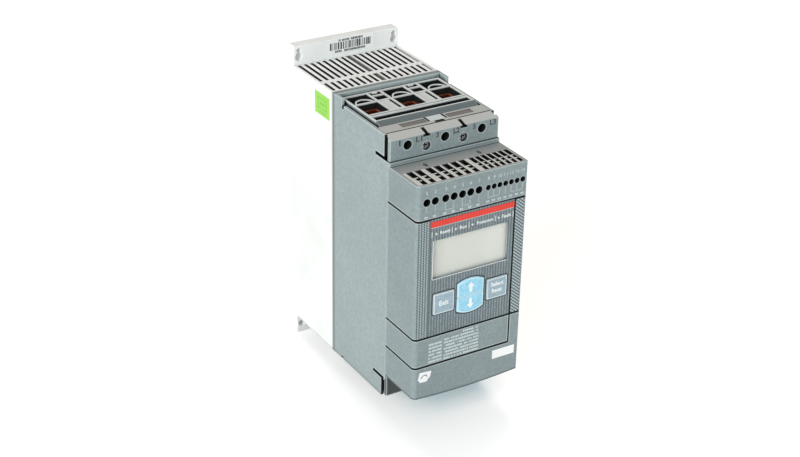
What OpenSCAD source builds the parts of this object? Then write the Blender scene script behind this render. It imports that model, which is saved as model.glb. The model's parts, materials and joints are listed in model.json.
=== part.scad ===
// Soft starter for three-phase motors: wall mounted, with power terminals at both ends,
// a keypad and a display in front, and an air duct with a heat sink behind.
// X runs to the right, Y towards the wall and Z up, in millimetres.
// The origin lies on the wall plane, at the middle of the mounting flange.
// A depth is a distance in front of the wall plane, so depth d lies at y = -d.

/* [Housings] */
// Width of the housings
body_w = 90; // [81:0.5:105]
// Height of the housings
body_h = 215; // [194:1:236]
// Depth of the rear housing
rear_d = 69; // [62:0.5:80]
// Depth of the main housing
main_d = 78.5; // [76:0.5:95]
// Depth of the front covers
cover_d = 38.6; // [37:0.2:50]
// Wall of the rear housing
rear_wall = 2.6; // [2:0.1:3]
// Back wall of the rear housing
back_t = 3; // [2:0.5:5]
// Wall of the main housing
main_wall = 2.2; // [1.6:0.1:2.6]
// Wall of the front covers
cover_wall = 2; // [1.6:0.1:2.4]
// Joint between the main housing and the front covers
cover_joint = 0.4; // [0.2:0.1:0.8]

/* [Mounting flange] */
// Thickness of the flange
flange_t = 9; // [6:0.5:12]
// Height of each lug beyond the housings
lug_h = 15; // [14:0.5:25]
// Distance of a mounting hole from the flange's side
hole_side = 4; // [4:0.1:12]
// Diameter of the round part of a keyhole
keyhole_d = 6; // [5:0.1:6.4]
// Width of a keyhole's slot
keyhole_slot_w = 4; // [3:0.1:4.2]
// Rise of a keyhole's slot above its round part
keyhole_rise = 5; // [3:0.1:5.5]
// Height of a keyhole's round part above the housings
keyhole_up = 6; // [4:0.1:6.5]
// Diameter of a lower mounting hole
lower_hole_d = 5.6; // [4:0.1:6.4]
// Drop of a lower mounting hole below the housings
lower_hole_down = 7.5; // [5:0.5:9]
// Depth of the shallow fields in the back
back_field_d = 1; // [0.4:0.1:1.2]
// Rows of those fields
back_rows = 4; // [2:1:6]
// Width of the ribs between those fields
back_rib = 5; // [3:0.5:8]

/* [Air grille] */
// Number of slots in a row
slot_count = 17; // [9:2:17]
// Width of a slot
slot_w = 2.7; // [1.5:0.1:3.5]
// Bar between the housing's side and the outermost slot
slot_side = 2.05; // [1.6:0.05:6]
// Bar left between the flange or the front edge and a row
grille_margin = 1.3; // [1:0.1:3]
// Bar between the two rows
grille_bridge = 4.6; // [3:0.1:8]
// Length of the front row
front_row = 15; // [8:0.5:20]

/* [Cooling] */
// Thickness of the heat sink's base
sink_base_t = 7; // [4:0.5:9]
// Space between the fan and the heat sink
sink_gap = 9.8; // [4:0.1:40]
// Thickness of a fin
fin_t = 1.8; // [1:0.1:2.4]
// Thickness of the middle rib of the heat sink
mid_rib_t = 4; // [3:0.1:5]
// Number of fins on each side of the middle rib
side_fins = 6; // [3:1:6]
// Space between the fan frame and the main housing
fan_front_gap = 4.5; // [3:0.1:14]
// Height of the fan frame
fan_t = 20; // [15:1:22]
// Number of fan blades
blade_count = 7; // [5:1:9]
// Pitch angle of the fan blades
blade_angle = 38; // [25:1:45]

/* [Main housing edges] */
// Depth of the raised rear part of each end edge
rim_d = 13; // [10:0.5:16]
// Drop of the upper end edge in front of the raised part
rim_drop = 4.8; // [3:0.1:6]
// Set-back of the lower shroud from the lower end edge
foot_drop = 0.4; // [0:0.1:4]
// Width of the notch between them
notch_w = 3; // [2:0.1:5]
// Set-back of the side walls beside a shroud
cutback = 5.5; // [4:0.1:8]
// Height of the snap slot in a side wall
snap_slot_h = 2.6; // [1.5:0.1:4]
// Length of the snap slot
snap_slot_l = 12; // [6:0.5:16]

/* [Power terminals] */
// Space between the outer wire wells and the main housing's side walls
block_side = 3.3; // [3:0.1:4.8]
// Height of the clamp screw axis below the housing's end
screw_inset = 12.7; // [12:0.1:13.5]
// Set-back of the terminal block from the rear housing
block_setback = 5.5; // [4.5:0.1:8]
// Drop of the terminal block's top below the housing's end
block_drop = 2.7; // [2:0.1:4]
// Height of the terminal block
block_h = 20; // [19:0.5:24]
// Width of a wire well at the top
well_w = 18; // [17:0.1:18.5]
// Length of a wire well, front to back
well_l = 18.7; // [16:0.1:20]
// Length of the cell behind a wire well
rear_cell_l = 14.6; // [12:0.1:16]
// Thickness of the ribs between the cells
rib_t = 1.4; // [1:0.1:1.6]
// Width of a clamp cage
cage_w = 15.6; // [14:0.1:15.8]
// Wall of a clamp cage
cage_t = 2; // [1.5:0.1:2.5]
// Front wall of a clamp cage, which holds the thread
cage_front_t = 3; // [2.5:0.1:3.5]
// Length inside a clamp cage
cage_inner = 23.2; // [22.6:0.1:23.4]
// Height of a clamp cage
cage_h = 13.7; // [12.5:0.1:13.9]
// Travel of a clamp cage along its screw
cage_travel = 5; // [3:0.1:5.2]
// Diameter of a clamp screw
screw_d = 6; // [5:0.1:6.4]
// Diameter of a clamp screw's head
screw_head_d = 8.4; // [7.4:0.1:9]
// Height of a clamp screw's head
screw_head_h = 4; // [3:0.1:4.4]
// Thickness of a busbar
bar_t = 3; // [2:0.1:3.2]

/* [Terminal shrouds] */
// Distance of a shroud's face in front of the main housing
shroud_proud = 1.5; // [0.5:0.1:4]
// Wall of a shroud
shroud_wall = 2.2; // [1.6:0.1:2.4]
// Drop of the bevel at a shroud's front edge
bevel_drop = 2.2; // [1:0.1:3]
// Depth of that bevel
bevel_d = 8; // [4:0.1:8.5]
// Diameter of a screwdriver hole
access_d = 6.8; // [6:0.1:7.2]
// Diameter of a shroud screw's shank
shroud_screw_d = 3.8; // [3:0.1:4]
// Diameter of a shroud screw's head
shroud_head_d = 6.2; // [5.4:0.1:6.3]
// Height of the ledge under the upper shroud
ledge_h = 3; // [2:0.1:4]

/* [Front covers] */
// Height of the terminal zone above the covers
line_zone_h = 26; // [25:0.5:30]
// Height of the terminal zone below the covers
load_zone_h = 20; // [20:0.1:26]
// Height of the control terminal cover
terminal_cover_h = 27; // [26:0.5:32]
// Height of the label cover
label_cover_h = 23.5; // [18:0.5:28]
// Height of the base cover
base_cover_h = 25.5; // [20:0.5:30]
// Sag of the base cover's foot in its middle
foot_bow = 1.8; // [0.6:0.1:2.4]
// Radius of the covers' left upright edge
corner_r = 3.5; // [2.6:0.1:5]
// Radius of the covers' right upright edge
right_corner_r = 1.2; // [0.6:0.1:3.5]
// Open joint between two covers
cover_gap = 0.9; // [0.4:0.1:1.4]
// Thickness of the tongue behind a joint
lip_t = 1.2; // [0.8:0.1:1.6]
// Reach of the tongue beyond a joint
lip_h = 3; // [2:0.1:4]
// Width of the knurled strip left of the fascia
left_strip_w = 11; // [9:0.1:11.4]
// Width of the plain strip right of the fascia
right_strip_w = 8.6; // [7:0.1:9]
// Width of the groove beside the right strip
groove_w = 1.2; // [0.6:0.1:1.6]

/* [Control terminals] */
// Distance between the end poles of the first and second strip
relay_step = 8.35; // [7.6:0.05:9]
// Distance between the end poles of the second and third strip
signal_step = 7.7; // [6.6:0.05:9]
// Diameter of a large screw hole
large_hole_d = 5.4; // [4.6:0.1:5.6]
// Diameter of a small screw hole
small_hole_d = 3.6; // [3:0.1:3.8]
// Width of a wire entry over a large terminal
large_entry_w = 3.9; // [3:0.1:3.9]
// Width of a wire entry over a small terminal
small_entry_w = 3.1; // [2.4:0.1:3.3]
// Length of a wire entry, front to back
entry_l = 20.5; // [16:0.1:21]

/* [Display and keys] */
// Thickness of the fascia
fascia_t = 0.8; // [0.5:0.1:1]
// Set-back of the fascia behind the covers' face
fascia_setback = 0.3; // [0.1:0.05:0.4]
// Space between the fascia's left edge and the display window
window_side = 2.9; // [2.6:0.1:6]
// Space between the keys and the display window
window_up = 6.5; // [3:0.1:16]
// Drop of the window's top below the display housing's top
window_drop = 17.1; // [16:0.1:19]
// Thickness of the window pane
pane_t = 1.2; // [0.8:0.1:1.6]
// Thickness of the display module
lcd_t = 4.3; // [4:0.1:6]
// Height of the key row's middle above the display housing's foot
key_row_up = 25.5; // [24:0.1:26]
// Sideways place of the key row's middle
key_row_x = 0.9; // [0:0.1:1]
// Height of a square key
key_h = 16.6; // [14:0.1:20]
// Width of the arrow keys
arrow_w = 22.2; // [18:0.1:22.4]
// Height of each arrow key at its sides
arrow_side_h = 10.9; // [9:0.1:11.2]
// Rise of an arrow key's round end
arrow_rise = 2.9; // [1.5:0.1:3]
// Space between neighbouring keys
key_space = 2.6; // [2.2:0.1:3]
// Distance of a key's face in front of the fascia
key_proud = 0.9; // [0.9:0.05:2]
// Travel of a key
key_travel = 0.8; // [0.4:0.05:0.8]
// Height of the red stripe
stripe_h = 4.4; // [3:0.1:5]
// Drop of the stripe's top below the display housing's top
stripe_drop = 2.1; // [1:0.1:2.4]
// Diameter of a status light
light_d = 1.8; // [1.2:0.1:2.2]

/* [Circuit boards] */
// Thickness of a circuit board
board_t = 1.6; // [1:0.1:2]
// Depth of the power board in front of the rear housing
power_board_in = 62; // [61.6:0.1:65]
// Depth of the control board in front of the main housing
control_board_in = 10.5; // [8:0.1:14]
// Space between a thyristor module and the main housing's side wall
module_side = 3.3; // [2:0.1:8]
// Space between a thyristor module and the middle of the housing
module_mid = 5.5; // [5:0.1:8]
// Space between a current transformer and the terminal block
ct_gap = 6.8; // [3:0.1:12]
// Height of a thyristor module
module_h = 30; // [24:0.5:31]

/* [Hidden] */
$fn = 48;
// Clearances: running fit, moving pieces, snug seat
fit = 0.06;
clear = 0.3;
snug = 0.2;
// Overlap of a cut beyond the face that it opens
cut = 1;

half_w = body_w / 2;
half_h = body_h / 2;
main_front = rear_d + main_d;
cover_back = main_front + cover_joint;
face_d = cover_back + cover_d;
rear_in = half_w - rear_wall;
main_in = half_w - main_wall;
cover_in = half_w - cover_wall;
least_r = 0.4;
cover_inner_r = max(corner_r - cover_wall, least_r);

// Heights of the covers' joints
cover_top = half_h - line_zone_h;
cover_foot = -half_h + load_zone_h;
display_top = cover_top - terminal_cover_h;
label_foot = cover_foot + base_cover_h;
bow_foot = cover_foot - foot_bow;
bow_r = (half_w * half_w + foot_bow * foot_bow) / (2 * foot_bow);
display_foot = label_foot + label_cover_h;

// Corner radius of the flange
flange_r = 1.5;

// Air duct
slot_pitch = 2 * (half_w - slot_side - slot_w / 2) / (slot_count - 1);
fan_base = -(half_h - rear_wall);
fan_back_gap = 1.5;
fan_size = rear_d - back_t - fan_back_gap - fan_front_gap;
fan_mid = back_t + fan_back_gap + fan_size / 2;
fan_bore_r = fan_size / 2 - 1.5;
fan_hub_r = fan_size / 2 * 0.46;
fan_shaft_r = 1.5;
fan_plate_t = 3;
fan_rib_t = 2;
rail_w = 3;
rail_t = 3;
sink_end_gap = 10;
sink_top = half_h - rear_wall - sink_end_gap;
sink_foot = fan_base + fan_t + sink_gap;
fin_side = 4.7;
fin_pitch = (rear_in - rail_w - fin_side - fin_t / 2) / (side_fins + 0.5);
sink_back = back_t + 1.2;
rear_row_start = flange_t + grille_margin;
front_row_end = rear_d - grille_margin - 2;
rear_row_end = front_row_end - front_row - grille_bridge;

// Power terminals, drawn for the upper end; the lower end is its mirror image
phases = [1, 2, 3];
phase_pitch = main_in - block_side - well_w / 2;
screw_z = half_h - screw_inset;
block_top = half_h - block_drop;
block_foot = block_top - block_h;
block_back = rear_d + block_setback;
block_floor_t = 1;
block_roof = block_top - 4.7;
cell_back = block_back + rib_t;
well_back = cell_back + rear_cell_l + rib_t;
well_front = well_back + well_l;
cage_rear = well_back + 0.8;
cage_front = cage_rear + cage_t + cage_inner + cage_front_t;
cage_foot = block_foot + block_floor_t + clear;
pocket_front = cage_front + cage_travel + 0.5;
block_front = pocket_front + 2;
block_crest = block_front - 3.6;
block_half_w = phase_pitch + well_w / 2 + 1.3;
pocket_w = cage_w + 1.2;
tongue_w = cage_w - 2 * cage_t - 0.8;
tongue_top = cage_foot + cage_h - 1.3;
tongue_front = cage_front - cage_front_t - 1.5;
tongue_back = tongue_front - bar_t;
screw_tip = tongue_front + clear;
head_back = block_front + clear;
head_front = head_back + screw_head_h;

// Shrouds
shroud_front = main_front + shroud_proud;
shroud_back = block_front + 0.6;
shroud_cap = main_front - cutback + 4;
shroud_bevel = shroud_front - bevel_d;
shroud_half_w = half_w - 0.5;
wall_step = 2.5;
notch_h = 2.6;
ledge_proud = 0.3;
shroud_screw_z = screw_z - 3.8;
shroud_screw_x = phase_pitch / 2;
shroud_sink = 4.4;
shroud_seat = shroud_front - shroud_sink;
shroud_head_h = 2.2;
shroud_pilot_l = 10;
boss_d = shroud_head_d + 2.4;

// Inner pieces
power_board_back = rear_d + power_board_in;
control_board_back = main_front + control_board_in;
control_board_front = control_board_back + board_t;
wall_inside = face_d - cover_wall;
display_board_front = wall_inside - pane_t - lcd_t;
ct_h = 12;
ct_foot = block_foot - ct_gap - ct_h;
shelf_drop = 8;
bar_shelf = ct_foot - shelf_drop;
shelf_out = 11;
module_l = 2 * (bar_shelf - shelf_out);
module_w = main_in - module_side - module_mid;
module_x = module_mid + module_w / 2;
module_top = rear_d + module_h;
relay_inset = 3;
relay_gap = 5;
relay_foot_t = 4;
relay_edge = 1;
relay_half_w = module_w / 2 - relay_inset;
relay_half_h = module_l / 4 - 3.5;
ct_half_w = 11.5;
ct_bore_r = 6.8;

// Posts, rails and connector of the boards
post_r = 2.4;
post_in = 5.2;
post_foot_up = 6;
post_top_down = 7;
screw_bore_r = 1.2;
screw_bore_l = 4;
control_rail_l = 6;
control_rail_end = 5;
control_screw_in = 10;
connector_half_w = 18;
connector_half_h = 3;
connector_rim = 3;
connector_rim_h = 1.5;
connector_foot_t = 8;

// Fascia and what sits in it
fascia_left = -(half_w - left_strip_w);
strip_edge = half_w - right_strip_w;
fascia_right = strip_edge - groove_w;
fascia_front = face_d - fascia_setback;
fascia_back = fascia_front - fascia_t;
window_w = 2 * (min(-fascia_left, fascia_right) - window_side);
window_top = display_top - window_drop;
key_row_z = display_foot + key_row_up;
window_h = window_top - key_row_z - arrow_side_h - arrow_rise - window_up;
window_mid = window_top - window_h / 2;
key_face = fascia_front + key_proud;
key_flange_t = 1.1;
key_flange = 0.9;
key_clear = 0.35;
key_stem = 0.9;
key_edge = 0.5;
key_back = wall_inside - clear - key_flange_t - key_stem;
dome_top = key_back - key_travel - clear;
arrow_gap = 0.4;
key_w = (window_w - arrow_w) / 2 - key_space;
square_key_x = arrow_w / 2 + key_space + key_w / 2;
light_shares = [-0.929, -0.424, 0.019, 0.723];
light_spots = light_shares * window_w / 2;
light_z = (window_top + display_top - stripe_drop - stripe_h) / 2 - 0.2;

// Control terminals: poles per strip, counted from the left
strip_poles = [2, 5, 7];
strip_end = [3.5, 3.5, 1.7];
first_pole = -(cover_in - 5.5);
last_pole = cover_in - snug - strip_end[2];
small_ratio = 4.8 / 6.75;
large_pitch = (last_pole - first_pole - relay_step - signal_step) / (5 + 6 * small_ratio);
small_pitch = small_ratio * large_pitch;
strip_pitch = [large_pitch, large_pitch, small_pitch];
strip_hole_d = [large_hole_d, large_hole_d, small_hole_d];
strip_entry_w = [large_entry_w, large_entry_w, small_entry_w];
second_strip = first_pole + large_pitch + relay_step;
strip_first = [first_pole, second_strip, last_pole - 6 * small_pitch];
pole_drop = 13.2;
pole_z = cover_top - pole_drop;
strip_foot = display_top + lip_h + 2.5;
strip_top = cover_top - cover_wall - snug;
strip_front = wall_inside - cover_inner_r;
entry_front = face_d - 2;
entry_back = entry_front - entry_l;
pole_set = 5;
pole_head_front = strip_front - pole_set;
pole_head_h = 2.4;
pole_bore_l = 10;
pole_shank_l = 9.8;
pole_shank_step = 0.4;
pole_slot_w = 0.7;
pole_slot_h = 0.8;

// Box between two corners; the depths count from the wall
module slab(x, d, z) {
    translate([x[0], -d[1], z[0]])
        cube([x[1] - x[0], d[1] - d[0], z[1] - z[0]]);
}

// Round bar from one depth to another
module rod(x, z, d, r) {
    translate([x, -d[0], z])
        rotate([90, 0, 0])
            cylinder(h = d[1] - d[0], r = r);
}

// Outline drawn in X and Z, carried from one depth to another
module forward(d) {
    translate([0, -d[0], 0])
        rotate([90, 0, 0])
            linear_extrude(height = d[1] - d[0])
                children();
}

// Outline drawn in depth and Z, carried across from one X to another
module across(x) {
    translate([x[0], 0, 0])
        rotate([90, 0, 90])
            linear_extrude(height = x[1] - x[0])
                mirror([1, 0])
                    children();
}

// Rectangle with round corners about its middle
module rounded_rect(w, h, r) {
    square([w - 2 * r, h], center = true);
    square([w, h - 2 * r], center = true);
    for (sx = [-1, 1], sy = [-1, 1])
        translate([sx * (w / 2 - r), sy * (h / 2 - r)])
            circle(r = r);
}

// The upper end as drawn, or its mirror image at the lower end
module at_end(upper) {
    if (upper)
        children();
    else
        mirror([0, 0, 1])
            children();
}

function phase_x(i) = (i - 2) * phase_pitch;

// Rear housing: flange, duct walls, grilles at both ends and seats for the heat sink and fan
module rear_housing() {
    color("whitesmoke")
        difference() {
            union() {
                difference() {
                    union() {
                        forward([0, flange_t])
                            rounded_rect(body_w, body_h + 2 * lug_h, flange_r);
                        slab([-half_w, half_w], [0, rear_d], [-half_h, half_h]);
                    }
                    slab([-rear_in, rear_in], [back_t, rear_d + cut], [fan_base, -fan_base]);
                }
                for (side = [-1, 1])
                    sink_rail(side);
                for (side = [-1, 1])
                    fan_rib(side);
            }
            for (end = [-1, 1])
                grille_slots(end);
            for (side = [-1, 1])
                flange_holes(side);
            for (side = [-1, 1], row = [0 : back_rows - 1])
                back_field(side, row);
        }
}

// Shallow field in the back, which leaves ribs that lie on the wall
module back_field(side, row) {
    step = (body_h - back_rib) / back_rows;
    foot = -half_h + back_rib + row * step;
    field_x = side > 0 ? [back_rib / 2, half_w - back_rib] : [back_rib - half_w, -back_rib / 2];
    slab(field_x, [-cut, back_field_d], [foot, foot + step - back_rib]);
}

module sink_rail(side) {
    rail_front = rear_d - sink_base_t;
    rail_x = side > 0 ? [rear_in - rail_w, rear_in] : [-rear_in, rail_w - rear_in];
    slab(rail_x, [rail_front - rail_t, rail_front], [sink_foot, sink_top]);
}

module fan_rib(side) {
    near = fan_size / 2 + snug;
    rib_x = side > 0 ? [near, near + fan_rib_t] : [-near - fan_rib_t, -near];
    slab(rib_x, [back_t, fan_mid + fan_size / 4], [fan_base, fan_base + fan_t / 2]);
}

module grille_slots(end) {
    slot_z = end > 0 ? [-fan_base - cut, half_h + cut] : [-half_h - cut, fan_base];
    for (i = [0 : slot_count - 1]) {
        mid = (i - (slot_count - 1) / 2) * slot_pitch;
        slab([mid - slot_w / 2, mid + slot_w / 2], [rear_row_start, rear_row_end], slot_z);
        slab([mid - slot_w / 2, mid + slot_w / 2], [front_row_end - front_row, front_row_end], slot_z);
    }
}

module flange_holes(side) {
    hole_x = side * (half_w - hole_side);
    through = [-cut, flange_t + cut];
    keyhole_z = half_h + keyhole_up;
    rod(hole_x, keyhole_z, through, keyhole_d / 2);
    rod(hole_x, keyhole_z + keyhole_rise, through, keyhole_slot_w / 2);
    slab([hole_x - keyhole_slot_w / 2, hole_x + keyhole_slot_w / 2], through,
        [keyhole_z, keyhole_z + keyhole_rise]);
    rod(hole_x, -half_h - lower_hole_down, through, lower_hole_d / 2);
}

// Extruded heat sink: base plate, middle rib and fins that stand behind the grille's bars
module heat_sink() {
    sink_z = [sink_foot, sink_top];
    base_back = rear_d - sink_base_t;
    color("silver") {
        slab([-rear_in + snug, rear_in - snug], [base_back, rear_d], sink_z);
        slab([-mid_rib_t / 2, mid_rib_t / 2], [sink_back, base_back], sink_z);
        for (side = [-1, 1], i = [1 : side_fins]) {
            mid = side * (i + 0.5) * fin_pitch;
            slab([mid - fin_t / 2, mid + fin_t / 2], [sink_back, base_back], sink_z);
        }
    }
}

// Fan frame: square housing with a round bore, struts and the bearing plate
module fan_frame() {
    color("dimgray")
        translate([0, -fan_mid, fan_base])
            difference() {
                union() {
                    difference() {
                        linear_extrude(height = fan_t)
                            rounded_rect(fan_size, fan_size, 3);
                        translate([0, 0, -cut])
                            cylinder(h = fan_t + 2 * cut, r = fan_bore_r);
                    }
                    cylinder(h = fan_plate_t, r = fan_hub_r);
                    for (turn = [45 : 90 : 315])
                        rotate(turn)
                            translate([fan_hub_r - 1, -2, 0])
                                cube([fan_bore_r - fan_hub_r + 2, 4, fan_plate_t]);
                }
                translate([0, 0, 1])
                    cylinder(h = fan_plate_t, r = fan_shaft_r + fit);
                for (sx = [-1, 1], sy = [-1, 1])
                    translate([sx * (fan_size / 2 - 5), sy * (fan_size / 2 - 5), -cut])
                        cylinder(h = fan_t + 2 * cut, r = 1.9);
            }
}

// Fan rotor: hub cup, shaft and pitched blades
module fan_rotor() {
    hub_foot = fan_plate_t + 0.5;
    hub_h = fan_t - hub_foot - 0.5;
    color("black")
        translate([0, -fan_mid, fan_base]) {
            translate([0, 0, hub_foot])
                cylinder(h = hub_h, r = fan_hub_r);
            translate([0, 0, 1 + clear])
                cylinder(h = hub_foot, r = fan_shaft_r);
            intersection() {
                translate([0, 0, hub_foot])
                    difference() {
                        cylinder(h = hub_h, r = fan_bore_r - 0.7);
                        translate([0, 0, -cut])
                            cylinder(h = hub_h + 2 * cut, r = fan_hub_r - 1);
                    }
                for (i = [0 : blade_count - 1])
                    rotate(i * 360 / blade_count)
                        translate([0, 0, hub_foot + hub_h / 2])
                            rotate([blade_angle, 0, 0])
                                translate([0, -fan_t, -0.8])
                                    cube([fan_size, 2 * fan_t, 1.6]);
            }
        }
}

// Main housing: side walls, back wall with the module window, end rims and seats
module main_housing() {
    inside = [rear_d + 2.5, main_front + cut];
    color("darkgray")
        difference() {
            union() {
                difference() {
                    slab([-half_w, half_w], [rear_d, main_front], [-half_h, half_h]);
                    slab([-main_in, main_in], inside, [-half_h - cut, half_h + cut]);
                }
                for (upper = [true, false])
                    at_end(upper)
                        slab([-main_in, main_in], [rear_d, rear_d + 4], [half_h - 6, half_h]);
                for (side = [-1, 1])
                    main_seats(side);
            }
            slab([-main_in + 1, main_in - 1], [rear_d - cut, rear_d + 3],
                [-module_l / 2 - 2, module_l / 2 + 2]);
            for (upper = [true, false])
                at_end(upper)
                    end_cuts(upper);
            for (side = [-1, 1], z = board_screw_heights())
                rod(side * board_screw_x(), z, [power_board_back - 6, power_board_back + cut], 1.2);
        }
}

function board_screw_x() = main_in - rail_w / 2;
function board_screw_heights() = [-module_l / 2, module_l / 2];

// Ledges under the terminal blocks and the rails that carry the power board
module main_seats(side) {
    seat_x = side > 0 ? [main_in - rail_w, main_in] : [-main_in, rail_w - main_in];
    for (upper = [true, false])
        at_end(upper)
            slab(seat_x, [block_back, block_front], [block_foot - 3, block_foot]);
    slab(seat_x, [power_board_back - 7, power_board_back], [-ct_foot + 4, ct_foot]);
}

function zone_height(upper) = upper ? cover_top : -cover_foot;
function shroud_top(upper) = half_h - (upper ? rim_drop : foot_drop);

// Step, notch, set-back and snap slot in the side walls at one end; only the upper end has the step
module end_cuts(upper) {
    wide = [-half_w - cut, half_w + cut];
    rim_front = rear_d + rim_d;
    edge = upper ? half_h - rim_drop : half_h;
    shroud_zone = zone_height(upper) + wall_step;
    if (upper)
        slab(wide, [rim_front, main_front + cut], [edge, half_h + cut]);
    slab(wide, [rim_front, rim_front + notch_w], [edge - notch_h, half_h + cut]);
    slab(wide, [main_front - cutback, main_front + cut], [shroud_zone, half_h + cut]);
    slab(wide, [main_front - cutback - snap_slot_l, main_front], [shroud_zone, shroud_zone + snap_slot_h]);
}

// Thyristor module: base, moulded body and raised terminals
module thyristor_module(side) {
    mid = side * module_x;
    z = module_l / 2;
    color("dimgray")
        difference() {
            union() {
                slab([mid - module_w / 2 + 2, mid + module_w / 2 - 2], [rear_d, module_top - 4],
                    [-z + 10, z - 10]);
                slab([mid - module_w / 2, mid + module_w / 2], [rear_d, rear_d + 8], [-z, z]);
                for (foot = [-1, 0, 1])
                    slab([mid - module_w / 2 + 6, mid + module_w / 2 - 6], [module_top - 5, module_top],
                        [foot * (z - 19) - 8, foot * (z - 19) + 8]);
            }
            for (foot = [-1, 1])
                rod(mid, foot * (z - 5), [rear_d - cut, rear_d + 9], 3);
        }
}

module bypass_relay(side) {
    mid = side * module_x;
    color("royalblue") {
        slab([mid - relay_half_w, mid + relay_half_w],
            [module_top + relay_gap, power_board_back - relay_edge], [-relay_half_h, relay_half_h]);
        slab([mid - relay_half_w - relay_edge, mid + relay_half_w + relay_edge],
            [power_board_back - relay_foot_t, power_board_back],
            [-relay_half_h - relay_edge, relay_half_h + relay_edge]);
    }
}

// Moulded current transformer with a round window for the busbar
module current_transformer(i) {
    mid = phase_x(i);
    bar_mid = (tongue_back + tongue_front) / 2;
    color("indianred")
        difference() {
            slab([mid - ct_half_w, mid + ct_half_w], [bar_mid - ct_half_w, power_board_back],
                [-ct_foot - ct_h, -ct_foot]);
            translate([mid, -bar_mid, -ct_foot - ct_h - cut])
                cylinder(h = ct_h + 2 * cut, r = ct_bore_r);
        }
}

module power_board() {
    color("darkgreen")
        difference() {
            slab([-main_in + snug, main_in - snug], [power_board_back, power_board_back + board_t],
                [-ct_foot - ct_h, ct_foot + ct_h]);
            for (side = [-1, 1], z = board_screw_heights())
                rod(side * board_screw_x(), z,
                    [power_board_back - cut, power_board_back + board_t + cut], 1.2);
        }
}

// Strip of even thickness along a bent line, with round bends
module bent_strip(points, t) {
    for (i = [0 : len(points) - 2]) {
        step = points[i + 1] - points[i];
        translate(points[i])
            rotate(atan2(step[1], step[0]))
                translate([0, -t / 2])
                    square([norm(step), t]);
    }
    for (i = [1 : len(points) - 2])
        translate(points[i])
            circle(d = t);
}

// Copper bar from a clamp's tongue, over a shelf, down to a thyristor module
module busbar(side) {
    phase = side * phase_pitch;
    mid = side * module_x;
    bar_mid = tongue_back + bar_t / 2;
    land = module_top + bar_t / 2;
    near = min(abs(phase), abs(mid)) - tongue_w / 2;
    far = max(abs(phase), abs(mid)) + tongue_w / 2;
    color("peru")
        difference() {
            union() {
                across([phase - tongue_w / 2, phase + tongue_w / 2])
                    bent_strip([[bar_mid, tongue_top], [bar_mid, bar_shelf], [land, bar_shelf]], bar_t);
                across([mid - tongue_w / 2, mid + tongue_w / 2])
                    bent_strip([[bar_mid, bar_shelf], [land, bar_shelf], [land, module_l / 2 - 24]], bar_t);
                slab(side > 0 ? [near, far] : [-far, -near], [land, bar_mid],
                    [bar_shelf - bar_t / 2, bar_shelf + bar_t / 2]);
            }
            rod(mid, module_l / 2 - 19, [module_top - cut, module_top + bar_t + cut], 2.6);
        }
}

// Straight bar of the middle phase, from the upper clamp to the lower one
module middle_busbar() {
    color("peru")
        slab([-tongue_w / 2, tongue_w / 2], [tongue_back, tongue_front], [-tongue_top, tongue_top]);
}

// Terminal block: bevelled block with wire wells, clamp pockets, cells and slits
module terminal_block(upper) {
    outline = [[block_back, block_top], [block_crest, block_top], [block_front, block_top - 2.6],
        [block_front, block_foot], [block_back, block_foot]];
    color("slategray")
        at_end(upper)
            difference() {
                union() {
                    across([-block_half_w, block_half_w])
                        polygon(outline);
                    slab([-main_in, main_in], [block_back, block_front], [block_foot, block_foot + 9]);
                }
                for (i = phases)
                    phase_cuts(phase_x(i));
                for (i = [1, 2])
                    between_cuts(phase_x(i) + phase_pitch / 2);
                front_slits();
                for (side = [-1, 1])
                    rod(side * shroud_screw_x, shroud_screw_z,
                        [block_front - shroud_pilot_l, block_front + cut], shroud_screw_d / 2 + fit);
            }
    color("slategray")
        at_end(upper)
            for (i = phases)
                arc_rib(phase_x(i));
    color("slategray")
        at_end(upper)
            for (i = [1, 2])
                clip_finger(phase_x(i) + phase_pitch / 2);
}

// Wire well, clamp pocket, screw passage and rear cell of one phase
module phase_cuts(x) {
    well = [x - well_w / 2, x + well_w / 2];
    pocket = [x - pocket_w / 2, x + pocket_w / 2];
    seat = [x - tongue_w / 2 - snug, x + tongue_w / 2 + snug];
    cell = [cell_back, cell_back + rear_cell_l];
    slab(well, [well_back, well_front], [block_roof, block_top + cut]);
    slab(pocket, [well_back, pocket_front], [block_foot + block_floor_t, block_roof]);
    slab(seat, [tongue_back - snug, tongue_front + snug], [block_foot - cut, block_foot + 2 * block_floor_t]);
    rod(x, screw_z, [pocket_front - cut, block_front + cut], screw_d / 2 + 0.4);
    slab(well, cell, [block_top - 6, block_top + cut]);
    slab([well[0] + 1.5, well[1] - 1.5], [cell[0] + 1.5, cell[1]], [block_top - 11, block_top]);
}

// Round rib that bows into the rear cell behind a wire well
module arc_rib(x) {
    rib_foot = block_top - 11;
    rib_h = block_top - 0.4 - rib_foot;
    rib_r = well_w / 2 - 1.6;
    intersection() {
        translate([x, -(well_back - rib_t), rib_foot])
            difference() {
                cylinder(h = rib_h, r = rib_r);
                translate([0, 0, -cut])
                    cylinder(h = rib_h + 2 * cut, r = rib_r - 1.2);
            }
        slab([x - well_w / 2, x + well_w / 2], [cell_back, well_back - rib_t], [rib_foot, block_top]);
    }
}

// Clip cell, spare cell and side slot between two phases
module between_cuts(x) {
    half = phase_pitch / 2 - well_w / 2 - rib_t;
    deep = [block_top - 9, block_top + cut];
    slab([x - half, x + half], [cell_back, cell_back + 5.5], deep);
    slab([x - half, x + half], [cell_back + 5.5 + rib_t, well_back - rib_t], deep);
    slab([x + half - 2, x + half], [well_back, well_front - rib_t], deep);
    slab([x - half, x + half - 2], [well_back, well_front - rib_t], [block_top - 0.8, block_top + cut]);
}

// Snap finger that stands in a clip cell, on its rear wall
module clip_finger(x) {
    slab([x - 2, x + 2], [cell_back - rib_t / 2, cell_back + 2], [block_top - 9 - rib_t / 2, block_top]);
}

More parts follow.
